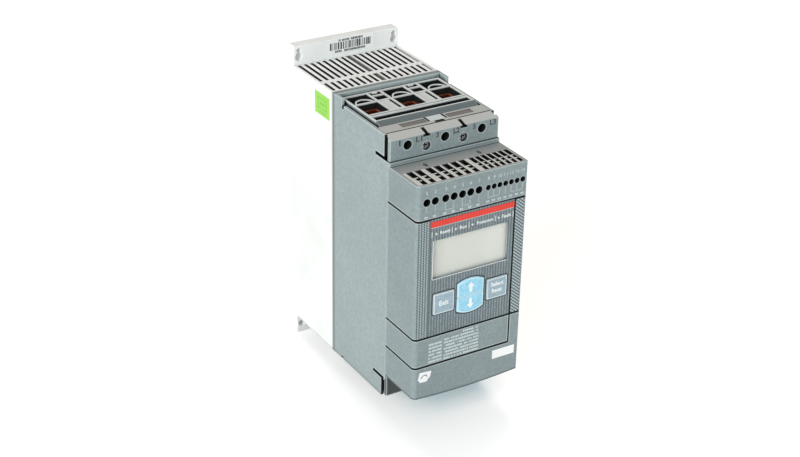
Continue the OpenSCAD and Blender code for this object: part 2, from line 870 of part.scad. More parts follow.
// Two slits across the block in front of the wells
module front_slits() {
    wide = [-block_half_w + 1.3, block_half_w - 1.3];
    slit_foot = block_roof + 1.2;
    slab(wide, [well_front + rib_t, well_front + rib_t + 1.6], [slit_foot, block_top + cut]);
    slab(wide, [well_front + 2 * rib_t + 1.9, block_crest - 3], [slit_foot, block_top + cut]);
}

// Clamp cage: bent frame round the wire and the tongue, drawn forward by its screw
module cage(i, upper) {
    x = phase_x(i);
    z = [cage_foot, cage_foot + cage_h];
    color("sienna")
        at_end(upper)
            difference() {
                slab([x - cage_w / 2, x + cage_w / 2], [cage_rear, cage_front], z);
                slab([x - cage_w / 2 + cage_t, x + cage_w / 2 - cage_t],
                    [cage_rear + cage_t, cage_front - cage_front_t], [z[0] - cut, z[1] + cut]);
                rod(x, screw_z, [cage_front - cage_front_t - cut, cage_front + cut], screw_d / 2 + fit);
            }
}

// Clamp screw: slotted head in front, shank through the block and the cage
module clamp_screw(i, upper) {
    x = phase_x(i);
    color("lightgray")
        at_end(upper)
            difference() {
                union() {
                    rod(x, screw_z, [head_back, head_front], screw_head_d / 2);
                    rod(x, screw_z, [screw_tip, head_back + cut], screw_d / 2);
                }
                slab([x - 0.6, x + 0.6], [head_front - 1.6, head_front + cut],
                    [screw_z - screw_head_d, screw_z + screw_head_d]);
            }
}

// Shroud: roof and bevelled front over the clamp screws; zone is the height of the cover's end
module shroud(upper) {
    zone = zone_height(upper);
    top = shroud_top(upper);
    color("gray")
        at_end(upper)
            difference() {
                union() {
                    shroud_skin(zone, top);
                    if (upper)
                        slab([-half_w - ledge_proud, half_w + ledge_proud], [main_front, shroud_front + 1],
                            [zone, zone + ledge_h]);
                    for (i = phases)
                        rod(phase_x(i), screw_z, [head_front + 0.5, shroud_front - 1], access_d / 2 + 1.4);
                    intersection() {
                        for (side = [-1, 1])
                            rod(side * shroud_screw_x, shroud_screw_z, [block_front, shroud_front - 1],
                                boss_d / 2);
                        slab([-half_w, half_w], [block_front, shroud_front], [zone, half_h]);
                    }
                }
                for (i = phases)
                    rod(phase_x(i), screw_z, [head_front, shroud_front + cut], access_d / 2);
                for (side = [-1, 1])
                    shroud_screw_hole(side * shroud_screw_x);
                for (side = [-1, 1])
                    tee_slot(side * shroud_screw_x, top);
                latch_cuts(top);
            }
}

// Bent sheet of the shroud, wider in front of the main housing's side walls
module shroud_skin(zone, top) {
    outer = [[shroud_back, top], [shroud_bevel, top],
        [shroud_front, top - bevel_drop], [shroud_front, zone], [shroud_back, zone]];
    inner = [[shroud_back - cut, top - shroud_wall], [shroud_bevel, top - shroud_wall],
        [shroud_front - shroud_wall, top - bevel_drop - shroud_wall / 2],
        [shroud_front - shroud_wall, zone - cut], [shroud_back - cut, zone - cut]];
    across([-main_in + snug, main_in - snug])
        difference() {
            polygon(outer);
            polygon(inner);
        }
    intersection() {
        difference() {
            across([-shroud_half_w, shroud_half_w])
                polygon(outer);
            across([-shroud_half_w + 2, shroud_half_w - 2])
                polygon(inner);
        }
        union() {
            slab([-half_w, half_w], [shroud_cap, shroud_front], [zone + wall_step + snug, top]);
            slab([-half_w, half_w], [main_front, shroud_front], [zone, top]);
        }
    }
}

module shroud_screw_hole(x) {
    rod(x, shroud_screw_z, [block_front - cut, shroud_front], shroud_screw_d / 2 + snug);
    rod(x, shroud_screw_z, [shroud_seat, shroud_front + cut], shroud_head_d / 2 + snug);
}

module tee_slot(x, top) {
    slab([x - 0.9, x + 0.9], [shroud_bevel + 1, shroud_front + cut], [top - 3.8, top + cut]);
    slab([x - 2.5, x + 2.5], [shroud_front - shroud_wall - cut, shroud_front + cut],
        [top - bevel_drop - 2, top - bevel_drop - 0.4]);
}

// Latch tongue between two cuts, shallow fields beside it and a line along the bevel
module latch_cuts(top) {
    through = [top - shroud_wall - cut, top + cut];
    shallow = [top - 0.5, top + cut];
    tongue_x = 1.6;
    field = [shroud_back + 1.6, shroud_back + 8.2];
    for (side = [-1, 1])
        slab([tongue_x + side * 7 - 0.45, tongue_x + side * 7 + 0.45], [shroud_back - cut, shroud_back + 7.8],
            through);
    slab([tongue_x - 4, tongue_x + 4], [shroud_back + 9, shroud_back + 10.2], through);
    slab([tongue_x - 29, tongue_x - 8.2], field, shallow);
    slab([tongue_x + 9, tongue_x + 30], field, shallow);
    slab([-half_w, half_w], [shroud_bevel - 0.7, shroud_bevel], shallow);
}

// The four screws that hold the shrouds to the terminal blocks
module shroud_screws() {
    color("silver")
        for (upper = [true, false], side = [-1, 1])
            at_end(upper)
                shroud_screw(side * shroud_screw_x);
}

module shroud_screw(x) {
    head = [shroud_seat, shroud_seat + shroud_head_h];
    difference() {
        union() {
            rod(x, shroud_screw_z, head, shroud_head_d / 2);
            rod(x, shroud_screw_z, [block_front - shroud_pilot_l + 1, shroud_seat + 1], shroud_screw_d / 2);
        }
        for (turn = [0, 90])
            translate([x, 0, shroud_screw_z])
                rotate([0, turn, 0])
                    slab([-2, 2], [head[1] - 1, head[1] + cut], [-0.5, 0.5]);
    }
}

// Plan of the covers in X and Y, drawn in from the outer face by an inset
module cover_plan(inset, back) {
    w = half_w - inset;
    front = face_d - inset;
    cover_half(w, front, max(right_corner_r - inset, least_r), back);
    mirror([1, 0])
        cover_half(w, front, max(corner_r - inset, least_r), back);
}

// Right half of that plan, carried past the middle so that the halves join
module cover_half(w, front, r, back) {
    translate([-w / 2, r - front])
        square([1.5 * w, front - r - back]);
    translate([-w / 2, -front])
        square([1.5 * w - r, 2 * r]);
    translate([w - r, r - front])
        circle(r = r);
}

// Wall that follows the covers' plan, between two heights
module cover_ring(z, outside, inside, back = cover_back) {
    translate([0, 0, z[0]])
        linear_extrude(height = z[1] - z[0])
            difference() {
                cover_plan(outside, back);
                cover_plan(inside, back - cut);
            }
}

module cover_plate(z) {
    translate([0, 0, z[0]])
        linear_extrude(height = z[1] - z[0])
            cover_plan(0, cover_back);
}

// Cover over the control terminals, with screw holes in front and wire entries on top
module control_terminal_cover() {
    z = [display_top + cover_gap / 2, cover_top];
    color("slategray")
        difference() {
            union() {
                cover_ring(z, 0, cover_wall);
                cover_plate([cover_top - cover_wall, cover_top]);
            }
            for (s = [0 : 2], i = [0 : strip_poles[s] - 1]) {
                rod(pole_x(s, i), pole_z, [wall_inside - 0.4, face_d + cut], strip_hole_d[s] / 2);
                wire_entry(pole_x(s, i), strip_entry_w[s]);
            }
            for (side = [-1, 1])
                translate([side * half_w / 2, -(entry_back - 6), cover_top - 0.6])
                    cylinder(h = cut, r = 0.9);
        }
}

function pole_x(s, i) = strip_first[s] + i * strip_pitch[s];

// Wire entry: open at the rear, with two short teeth from its left edge further forward
module wire_entry(x, w) {
    through = [cover_top - cover_wall - cut / 2, cover_top + cut];
    difference() {
        slab([x - w / 2, x + w / 2], [entry_back, entry_front], through);
        for (step = [0.42, 0.66]) {
            tooth = entry_back + entry_l * step;
            slab([x - w / 2 - cut, x + w / 2 - 1.1], [tooth, tooth + 1.2], through);
        }
    }
}

// Display housing: the middle front cover with tongues, rails, posts and all its openings
module display_housing() {
    z = [display_foot + cover_gap / 2, display_top - cover_gap / 2];
    rear_of_pane = [wall_inside - cut, face_d + cut];
    color("slategray")
        difference() {
            union() {
                cover_ring(z, 0, cover_wall);
                cover_ring([display_top - lip_h, display_top + lip_h], cover_wall, cover_wall + lip_t);
                cover_ring([display_foot - lip_h, display_foot + lip_h], cover_wall, cover_wall + lip_t);
                for (side = [-1, 1])
                    display_seats(side);
            }
            slab([fascia_left - snug, strip_edge], [fascia_back, face_d + cut],
                [display_foot - cut, display_top + cut]);
            forward(rear_of_pane)
                translate([0, window_mid])
                    square([window_w, window_h], center = true);
            forward(rear_of_pane)
                key_openings();
            for (x = light_spots)
                rod(x, light_z, rear_of_pane, light_d / 2 + 0.15);
            for (side = [-1, 1], z = control_screw_heights())
                rod(side * control_screw_x(), z,
                    [control_board_front - cut, control_board_front + screw_bore_l + cut], screw_bore_r);
            for (side = [-1, 1], z = display_post_heights())
                rod(side * display_post_x(), z,
                    [display_board_front - cut, display_board_front + screw_bore_l], screw_bore_r);
        }
}

function control_screw_x() = cover_in - rail_w / 2;
function control_screw_heights() = [display_foot + control_screw_in, display_top - control_screw_in];
function display_post_x() = cover_in - post_in;
function display_post_heights() = [display_foot + post_foot_up, display_top - post_top_down];

// Rails for the control board and posts for the display board
module display_seats(side) {
    seat_x = side > 0 ? [cover_in - rail_w, cover_in] : [-cover_in, rail_w - cover_in];
    slab(seat_x, [control_board_front, control_board_front + control_rail_l],
        [display_foot + control_rail_end, display_top - control_rail_end]);
    for (z = display_post_heights())
        rod(side * display_post_x(), z, [display_board_front, wall_inside + snug], post_r);
}

// Cover behind the rating field, left of the groove
module label_cover() {
    z = [label_foot + cover_gap / 2, display_foot - cover_gap / 2];
    tongue_z = [label_foot - lip_h, label_foot + lip_h];
    side_tongue = [z[0], display_foot - lip_h - cover_gap];
    color("slategray") {
        intersection() {
            union() {
                cover_ring(z, 0, cover_wall);
                cover_ring(tongue_z, cover_wall, cover_wall + lip_t);
            }
            slab([-half_w, fascia_right], [cover_back, face_d], [tongue_z[0], z[1]]);
        }
        slab([fascia_right - lip_h, strip_edge + lip_h - 1], [wall_inside - lip_t, wall_inside], side_tongue);
    }
}

// Base cover: closed foot, full width below and a strip up the right edge
module base_cover() {
    wide = [-half_w - cut, half_w + cut];
    sag = [bow_foot - cut, cover_foot];
    color("slategray")
        difference() {
            union() {
                cover_ring([bow_foot, label_foot - cover_gap / 2], 0, cover_wall);
                cover_plate([bow_foot, cover_foot + cover_wall]);
                intersection() {
                    cover_ring([cover_foot, display_foot - cover_gap / 2], 0, cover_wall);
                    slab([strip_edge, half_w], [cover_back, face_d], [cover_foot, display_foot]);
                }
            }
            slab(wide, [cover_back - cut, shroud_front + snug], sag);
            difference() {
                slab(wide, [cover_back, face_d + cut], sag);
                foot_arc();
            }
        }
}

// Disc whose lower edge is the base cover's bowed foot
module foot_arc() {
    forward([cover_back - cut, face_d + 2 * cut])
        translate([0, bow_foot + bow_r])
            circle(r = bow_r, $fn = 720);
}

// Outline of a square key about its middle, grown by an amount
module square_key_outline(grow) {
    rounded_rect(key_w + 2 * grow, key_h + 2 * grow, 1.2 + max(grow, -0.6));
}

// Outline of the upper arrow key about the pair's middle, grown by an amount away from the split
module arrow_outline(grow, split) {
    w = arrow_w + 2 * grow;
    top = arrow_side_h + arrow_rise + grow;
    r = (w * w / 4 + arrow_rise * arrow_rise) / (2 * arrow_rise);
    intersection() {
        translate([-w / 2, split])
            square([w, top - split]);
        translate([0, top - r])
            circle(r = r, $fn = 96);
    }
}

module key_openings() {
    for (side = [-1, 1])
        translate([key_row_x + side * square_key_x, key_row_z])
            square_key_outline(key_clear);
    for (up = [0, 1])
        translate([key_row_x, key_row_z])
            mirror([0, up])
                arrow_outline(key_clear, -cut);
}

// A key from its outline: retaining flange, body through the fascia and a stepped face
module key_solid() {
    flange_back = key_back + key_stem;
    forward([key_back, key_face - key_edge])
        children(0);
    forward([flange_back, flange_back + key_flange_t])
        children(1);
    forward([key_back, key_face])
        children(2);
}

module square_key(side) {
    color("lightslategray")
        translate([key_row_x + side * square_key_x, 0, key_row_z])
            key_solid() {
                square_key_outline(0);
                square_key_outline(key_flange);
                square_key_outline(-key_edge);
            }
}

module arrow_key(up) {
    color("lightskyblue")
        translate([key_row_x, 0, key_row_z])
            at_end(up)
                key_solid() {
                    arrow_outline(0, arrow_gap / 2);
                    arrow_outline(key_flange, arrow_gap / 2);
                    arrow_outline(-key_edge, arrow_gap / 2);
                }
}

// Rubber mat with one dome under each key
module keypad_mat() {
    mat_half_w = square_key_x + key_w / 2 + 1;
    mat_half_h = arrow_side_h + arrow_rise + 1;
    base = [display_board_front, display_board_front + 1];
    dome = [display_board_front, dome_top];
    color("dimgray")
        translate([key_row_x, 0, key_row_z]) {
            slab([-mat_half_w, mat_half_w], base, [-mat_half_h, mat_half_h]);
            for (side = [-1, 1]) {
                rod(side * square_key_x, 0, dome, 4);
                rod(0, side * arrow_side_h / 2, dome, 4);
            }
        }
}

module fascia() {
    z = [display_foot + cover_gap / 2, display_top - cover_gap / 2];
    through = [fascia_back - cut, fascia_front + cut];
    color("dimgray")
        difference() {
            slab([fascia_left, fascia_right], [fascia_back, fascia_front], z);
            forward(through)
                translate([0, window_mid])
                    square([window_w, window_h], center = true);
            forward(through)
                key_openings();
            for (x = light_spots)
                rod(x, light_z, through, light_d / 2 + 0.15);
        }
}

module red_stripe() {
    color("red")
        slab([fascia_left + snug, fascia_right], [fascia_front, fascia_front + 0.25],
            [display_top - stripe_drop - stripe_h, display_top - stripe_drop]);
}

module window_pane() {
    color("lightgray", 0.4)
        forward([wall_inside - pane_t, wall_inside])
            translate([0, window_mid])
                square([window_w + 3, window_h + 3], center = true);
}

module display_module() {
    color("gainsboro")
        forward([display_board_front, wall_inside - pane_t])
            translate([0, window_mid])
                square([window_w + 3, window_h + 3], center = true);
}

module status_lights() {
    color("white")
        for (x = light_spots)
            rod(x, light_z, [display_board_front, fascia_front + 0.1], light_d / 2);
}

module display_board() {
    board = [display_board_front - board_t, display_board_front];
    color("darkgreen")
        difference() {
            slab([-cover_in + 1.5, cover_in - 1.5], board, [display_foot + 2, display_top - lip_h - 1]);
            for (side = [-1, 1], z = display_post_heights())
                rod(side * display_post_x(), z, [board[0] - cut, board[1] + cut], 1.2);
        }
}

module control_board() {
    board = [control_board_back, control_board_front];
    color("darkgreen")
        difference() {
            slab([-cover_in + snug, cover_in - snug], board, [cover_foot + cover_wall + 1, strip_top]);
            lip_clearance(board);
            for (side = [-1, 1], z = control_screw_heights())
                rod(side * control_screw_x(), z, [board[0] - cut, board[1] + cut], 1.2);
        }
}

// Room beside the control board for the tongues of the covers
module lip_clearance(board) {
    reach = lip_t + snug;
    wide = [board[0] - cut, board[1] + cut];
    for (side = [-1, 1], joint = [display_top, display_foot, label_foot]) {
        x = side > 0 ? [cover_in - reach, cover_in] : [-cover_in, reach - cover_in];
        slab(x, wide, [joint - lip_h - snug, joint + lip_h + snug]);
    }
}

module board_connector() {
    foot = power_board_back + board_t;
    rim_half_w = connector_half_w + connector_rim;
    rim_half_h = connector_half_h + connector_rim_h;
    color("black") {
        slab([-connector_half_w, connector_half_w], [foot, control_board_back],
            [-connector_half_h, connector_half_h]);
        slab([-rim_half_w, rim_half_w], [foot, foot + connector_foot_t], [-rim_half_h, rim_half_h]);
    }
}

// Screws of the three circuit boards
module board_screws() {
    shank = 0.9;
    head = 1.45;
    color("silver") {
        for (side = [-1, 1], z = board_screw_heights())
            board_screw(side * board_screw_x(), z, power_board_back + board_t, -6, head, shank);
        for (side = [-1, 1], z = control_screw_heights())
            board_screw(side * control_screw_x(), z, control_board_back, 6, head, shank);
        for (side = [-1, 1], z = display_post_heights())
            board_screw(side * display_post_x(), z, display_board_front - board_t, 5, head, shank);
    }
}

// One screw: its head lies on a board's face, its shank runs back (negative) or forward
module board_screw(x, z, face, reach, head, shank) {
    if (reach < 0) {
        rod(x, z, [face, face + 1.4], head);
        rod(x, z, [face + reach, face + 1], shank);
    } else {
        rod(x, z, [face - 1.4, face], head);
        rod(x, z, [face - 1, face + reach], shank);
    }
}

// Terminal strip on the control board: screw bores in front, wire holes on top
module terminal_strip(s) {
    first = strip_first[s] - strip_end[s];
    last = pole_x(s, strip_poles[s] - 1) + strip_end[s];
    color("black")
        difference() {
            slab([first, last], [control_board_front, strip_front], [strip_foot, strip_top]);
            for (i = [0 : strip_poles[s] - 1]) {
                rod(pole_x(s, i), pole_z, [pole_head_front - pole_bore_l, strip_front + cut],
                    pole_head_r(s) + 0.15);
                slab([pole_x(s, i) - pole_head_r(s), pole_x(s, i) + pole_head_r(s)],
                    [entry_back + 0.6, entry_back + 6.6], [pole_z - 5, strip_top + cut]);
            }
        }
}

function pole_head_r(s) = strip_hole_d[s] / 2 - 0.5;

module terminal_screws() {
    color("silver")
        for (s = [0 : 2], i = [0 : strip_poles[s] - 1])
            difference() {
                union() {
                    rod(pole_x(s, i), pole_z, [pole_head_front - pole_head_h, pole_head_front],
                        pole_head_r(s));
                    rod(pole_x(s, i), pole_z, [pole_head_front - pole_shank_l, pole_head_front - cut],
                        pole_head_r(s) - pole_shank_step);
                }
                slab([pole_x(s, i) - large_hole_d / 2, pole_x(s, i) + large_hole_d / 2],
                    [pole_head_front - pole_slot_h, pole_head_front + cut],
                    [pole_z - pole_slot_w / 2, pole_z + pole_slot_w / 2]);
            }
}

rear_housing();
heat_sink();
fan_frame();
fan_rotor();
main_housing();
thyristor_module(-1);  // thyristor_module_1
thyristor_module(1);  // thyristor_module_3
bypass_relay(-1);  // bypass_relay_1
bypass_relay(1);  // bypass_relay_3
current_transformer(1);  // current_transformer_1
current_transformer(2);  // current_transformer_2
current_transformer(3);  // current_transformer_3
power_board();
busbar(-1);  // line_busbar_1
busbar(1);  // line_busbar_3
mirror([0, 0, 1]) busbar(-1);  // load_busbar_1
mirror([0, 0, 1]) busbar(1);  // load_busbar_3
middle_busbar();
terminal_block(true);  // upper_terminal_block
terminal_block(false);  // lower_terminal_block
cage(1, true);  // line_cage_1
cage(2, true);  // line_cage_2
cage(3, true);  // line_cage_3
cage(1, false);  // load_cage_1
cage(2, false);  // load_cage_2
cage(3, false);  // load_cage_3
clamp_screw(1, true);  // line_screw_1
clamp_screw(2, true);  // line_screw_2
clamp_screw(3, true);  // line_screw_3
clamp_screw(1, false);  // load_screw_1
clamp_screw(2, false);  // load_screw_2
clamp_screw(3, false);  // load_screw_3
shroud(true);  // upper_shroud
shroud(false);  // lower_shroud
shroud_screws();
control_terminal_cover();
display_housing();
label_cover();
base_cover();
fascia();
red_stripe();
window_pane();
display_module();
status_lights();
square_key(-1);  // exit_key
arrow_key(true);  // up_key
arrow_key(false);  // down_key
square_key(1);  // select_key
keypad_mat();
display_board();
control_board();
board_connector();
board_screws();
terminal_strip(0);  // relay_terminal_strip
terminal_strip(1);  // input_terminal_strip
terminal_strip(2);  // signal_terminal_strip
terminal_screws();
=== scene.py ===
"""Looks, light and camera for a wall-mounted three-phase soft starter.

Everything is in metres, in the frame of the solids: X to the right, Y towards the wall, Z up, with
the origin on the wall plane. A depth is a distance in front of the wall plane, so a depth d lies
at y = -d. Print, stickers, knurl and symbols are thin pieces laid on the solids, and their places
are written in millimetres. Every finish is a small node recipe.
"""
import json
import math

import bpy
import numpy as np
from mathutils import Matrix, Vector


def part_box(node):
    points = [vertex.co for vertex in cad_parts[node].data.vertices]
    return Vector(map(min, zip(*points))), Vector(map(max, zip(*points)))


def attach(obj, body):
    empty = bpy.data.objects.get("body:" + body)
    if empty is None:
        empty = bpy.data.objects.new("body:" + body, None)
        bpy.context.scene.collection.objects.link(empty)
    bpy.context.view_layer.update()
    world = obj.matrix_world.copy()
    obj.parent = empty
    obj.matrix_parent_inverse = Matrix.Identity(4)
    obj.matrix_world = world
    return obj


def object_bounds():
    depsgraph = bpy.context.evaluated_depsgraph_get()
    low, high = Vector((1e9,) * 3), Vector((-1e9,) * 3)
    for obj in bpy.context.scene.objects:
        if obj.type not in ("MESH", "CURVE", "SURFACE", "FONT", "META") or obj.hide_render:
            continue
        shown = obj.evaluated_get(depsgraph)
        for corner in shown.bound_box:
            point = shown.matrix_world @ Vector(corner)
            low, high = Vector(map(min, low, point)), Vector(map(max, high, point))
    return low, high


MM = 0.001
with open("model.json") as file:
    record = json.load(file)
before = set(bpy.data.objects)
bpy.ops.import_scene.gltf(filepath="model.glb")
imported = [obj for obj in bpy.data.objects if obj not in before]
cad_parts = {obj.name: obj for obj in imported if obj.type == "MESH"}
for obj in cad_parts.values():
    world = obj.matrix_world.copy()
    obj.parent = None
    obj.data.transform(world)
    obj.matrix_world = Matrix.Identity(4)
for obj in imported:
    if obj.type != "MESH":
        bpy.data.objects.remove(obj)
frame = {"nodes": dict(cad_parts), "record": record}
cad_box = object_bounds()
nodes = frame["nodes"]
collection = bpy.context.scene.collection


def front_of(node):
    """Depth of a node's foremost point."""
    return -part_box(node)[0].y


def middle_of(node):
    """Middle of a node's box, as X, Y and Z."""
    low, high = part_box(node)
    return [(a + b) / 2 for a, b in zip(low, high)]


# Measures of the solids, and places on them that finishes and print share

FACE, FASCIA, KEY = (front_of(node) for node in ("base_cover", "fascia", "exit_key"))
FASCIA_LOW, FASCIA_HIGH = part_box("fascia")
REAR_LOW, REAR_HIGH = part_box("rear_housing")
HOUSING_LOW, HOUSING_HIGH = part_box("main_housing")
BLOCK_LOW, BLOCK_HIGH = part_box("upper_terminal_block")
SHROUD_LOW, SHROUD_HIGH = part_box("upper_shroud")
CONTROL_LOW, CONTROL_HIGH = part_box("control_terminal_cover")
LABEL_LOW, LABEL_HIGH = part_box("label_cover")
BASE_LOW, BASE_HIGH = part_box("base_cover")

# A point this near to a face counts as on it
SKIN = 0.1 * MM

# Joints between the covers, from the top; a tongue of the label cover reaches down past the lowest
JOINT_HALF, LABEL_TONGUE = 0.45 * MM, 3.0 * MM
GROOVE, GROOVE_LAP, GROOVE_DEEP = 1.2 * MM, 0.03 * MM, 4 * MM
JOINTS = (CONTROL_LOW.z - JOINT_HALF, LABEL_HIGH.z + JOINT_HALF, LABEL_LOW.z + LABEL_TONGUE)
STRIP_EDGE = FASCIA_HIGH.x + GROOVE
FOOT_BOW, FOOT_EDGE = 1.8 * MM, (0.5 * MM, 1.5 * MM)
FOOT_CURVE = FOOT_BOW / BASE_HIGH.x ** 2

# Poles of the control terminal cover in millimetres, and the rims of their holes and entries, where
# shade is painted
LARGE_PITCH, SMALL_PITCH = 6.75, 4.8
LARGE_X = np.concatenate([-37.5 + LARGE_PITCH * np.arange(2), -22.4 + LARGE_PITCH * np.arange(5)])
SMALL_X = 12.3 + SMALL_PITCH * np.arange(7)
LARGE_RIM, SMALL_RIM = 2.9 * MM, 2.1 * MM
RIMS = [(x * MM, LARGE_RIM) for x in LARGE_X] + [(x * MM, SMALL_RIM) for x in SMALL_X]
ENTRY_EDGES = [((x - 3.1) * MM, (x + 1.95) * MM) for x in LARGE_X]
ENTRY_EDGES += [((x - 2.2) * MM, (x + 1.55) * MM) for x in SMALL_X]
FIELD_BACK, FIELD_FRONT, FIELD_HALF = FACE - 23.2 * MM, FACE - 1.6 * MM, 43 * MM
ENTRY_TOOTH, ENTRY_DEEP = FACE - 13.9 * MM, 2.2 * MM
HOLES_Z, HOLE_HALF, HOLE_DEEP = 68.3 * MM, 3.2 * MM, 2.6 * MM
HOLES_LEFT, HOLES_RIGHT = -41.2 * MM, 43.4 * MM
PIP_X, PIP_DEPTH, PIP_R = (-21.4 * MM, 22.6 * MM), 158.2 * MM, 1.4 * MM
REAR_EDGE = 1.9 * MM

# Shroud: roof, bevel, sunk fields, latch tongue with its cuts and notch, T slots, screw holes
SHROUD_FACE = 149.0 * MM
SHROUD_REAR, ROOF, BEVEL_DROP = -SHROUD_HIGH.y, SHROUD_HIGH.z, 2.2 * MM
SUNK_LOW, SUNK_HIGH = ROOF - 0.8 * MM, ROOF - 0.25 * MM
SUNK_BACK, SUNK_FRONT = SHROUD_REAR + 2.0 * MM, SHROUD_REAR + 9.0 * MM
SUNK_NEAR, SUNK_FAR = 7.6 * MM, 31 * MM
TONGUE_X, TONGUE_HALF, TONGUE_L = 1.6 * MM, 6.2 * MM, 8.6 * MM
CUT_OFF, CUT_HALF, CUT_L = 7 * MM, 0.85 * MM, 8.0 * MM
NOTCH_HALF, NOTCH_BACK, NOTCH_REACH = 3.8 * MM, 10.4 * MM, 1.7 * MM
LINE_BACK, LINE_HALF, ROOF_DEEP = 8.35 * MM, 0.65 * MM, 2.4 * MM
TEE_X, STEM_HALF, STEM_L, STEM_DROP = 15.25 * MM, 1.4 * MM, 6.8 * MM, 4.4 * MM
TEE_HALF, TEE_L, TEE_LOW, TEE_HIGH = 2.9 * MM, 2.4 * MM, 4.5 * MM, 2.5 * MM
ACCESS_Z, ACCESS_RISE, ACCESS_FALL = middle_of("line_screw_2")[2], 3.6 * MM, 7.4 * MM
ACCESS_HALF, ACCESS_L = 42 * MM, 12 * MM
LEDGE_TOP, CORNER_RISE = SHROUD_LOW.z + 3.0 * MM, 0.7 * MM

# Terminal block: how far rib tops, sunk fields, cells and slope lie below the crest or back from it
RIB_TOP, DISH_LOW, DISH_HIGH = 0.5 * MM, 0.95 * MM, 0.65 * MM
CELL_TOP, CELL_FOOT, CELL_BACK, CELL_FRONT = 1.0 * MM, 16 * MM, 1.2 * MM, 6.4 * MM
SLOPE_BACK, SLOPE_FRONT, SLOPE_H, PALE_TOPS_BACK = 5.0 * MM, 4.6 * MM, 8 * MM, 5.2 * MM
BLOCK_INNER = middle_of("line_screw_3")[0] + 9.1 * MM

# Housings: shades beside the seam, snap slots and set-back edges, air duct, grille, flange
SEAM_SHADE, REAR_SEAM_SHADE = (69.6 * MM, 72.4 * MM), (66.8 * MM, 68.2 * MM)
SIDE_FOOT, DUCT_FOOT, EDGE_HALF = (0.4 * MM, 3.6 * MM), 1.0 * MM, 0.06 * MM
SET_BACK, SNAP_L = -HOUSING_LOW.y - 5.5 * MM, 12.1 * MM
SNAP_LOWS, SNAP_HALF = (84.0 * MM, -92.6 * MM), 1.3 * MM
DUCT_SIDE, DUCT_END, DUCT_BACK = REAR_HIGH.x - 2.4 * MM, HOUSING_HIGH.z - 0.2 * MM, 3.2 * MM
GRILLE_ROWS = ((10.3 * MM, 46.1 * MM), (50.7 * MM, 65.7 * MM))
WEB_HALF, GRILLE_L = 2.1 * MM, 9 * MM
FLANGE_FACE, FLANGE_EDGE = 9.0 * MM, 9.6 * MM

# Knurl: pitch of the dots, pitch and slants of the diamonds, limits of the two strips
DOT_X, DOT_Z = 2.1 * MM, 1.3 * MM
DIAMOND, RISE, FALL = 3.0 * MM, 1.2, 0.9
STRIP_HALF, STRIP_SKIN = 43.8 * MM, 0.6 * MM


# Finishes: one small wrapper for sockets, one class that adds nodes


def operator(operation):
    """A method of a value that joins it to a number or another value by a Math node."""
    return lambda self, other=0.0: self.math(operation, self, other)


class Value:
    """An output socket. Its operators add Math nodes to the finish that it belongs to."""

    def __init__(self, finish, socket):
        self.finish = finish
        self.socket = socket

    def out(self, name):
        """Another output of the same node."""
        return Value(self.finish, self.socket.node.outputs[name])

    def math(self, operation, first, second):
        """Result of a Math node."""
        return self.finish.add("ShaderNodeMath", {0: first, 1: second}, operation=operation)

    def __rsub__(self, other):
        return self.math("SUBTRACT", other, self)

    __add__ = __radd__ = operator("ADD")
    __sub__ = operator("SUBTRACT")
    __mul__ = __rmul__ = operator("MULTIPLY")
    __truediv__ = operator("DIVIDE")
    __gt__ = operator("GREATER_THAN")
    __lt__ = operator("LESS_THAN")
    __mod__ = operator("FLOORED_MODULO")
    __abs__ = operator("ABSOLUTE")

    def between(self, low, high):
        """1 between two limits, else 0."""
        return (self > low) * (self < high)

    def near(self, middle, half):
        """1 within half of a middle, else 0."""
        return abs(self - middle) < half

    def clip(self, low=0.0, high=1.0):
        """0 at low, 1 at high, straight between them and level beyond."""
        sockets = {0: self, 1: low, 2: high, 3: 0.0, 4: 1.0}
        return self.finish.add("ShaderNodeMapRange", sockets, clamp=True)

    def wave(self, pitch):
        """Triangle wave: 1 at each whole number of pitches, 0 halfway between."""
        return abs((self % pitch) / pitch - 0.5) * 2.0


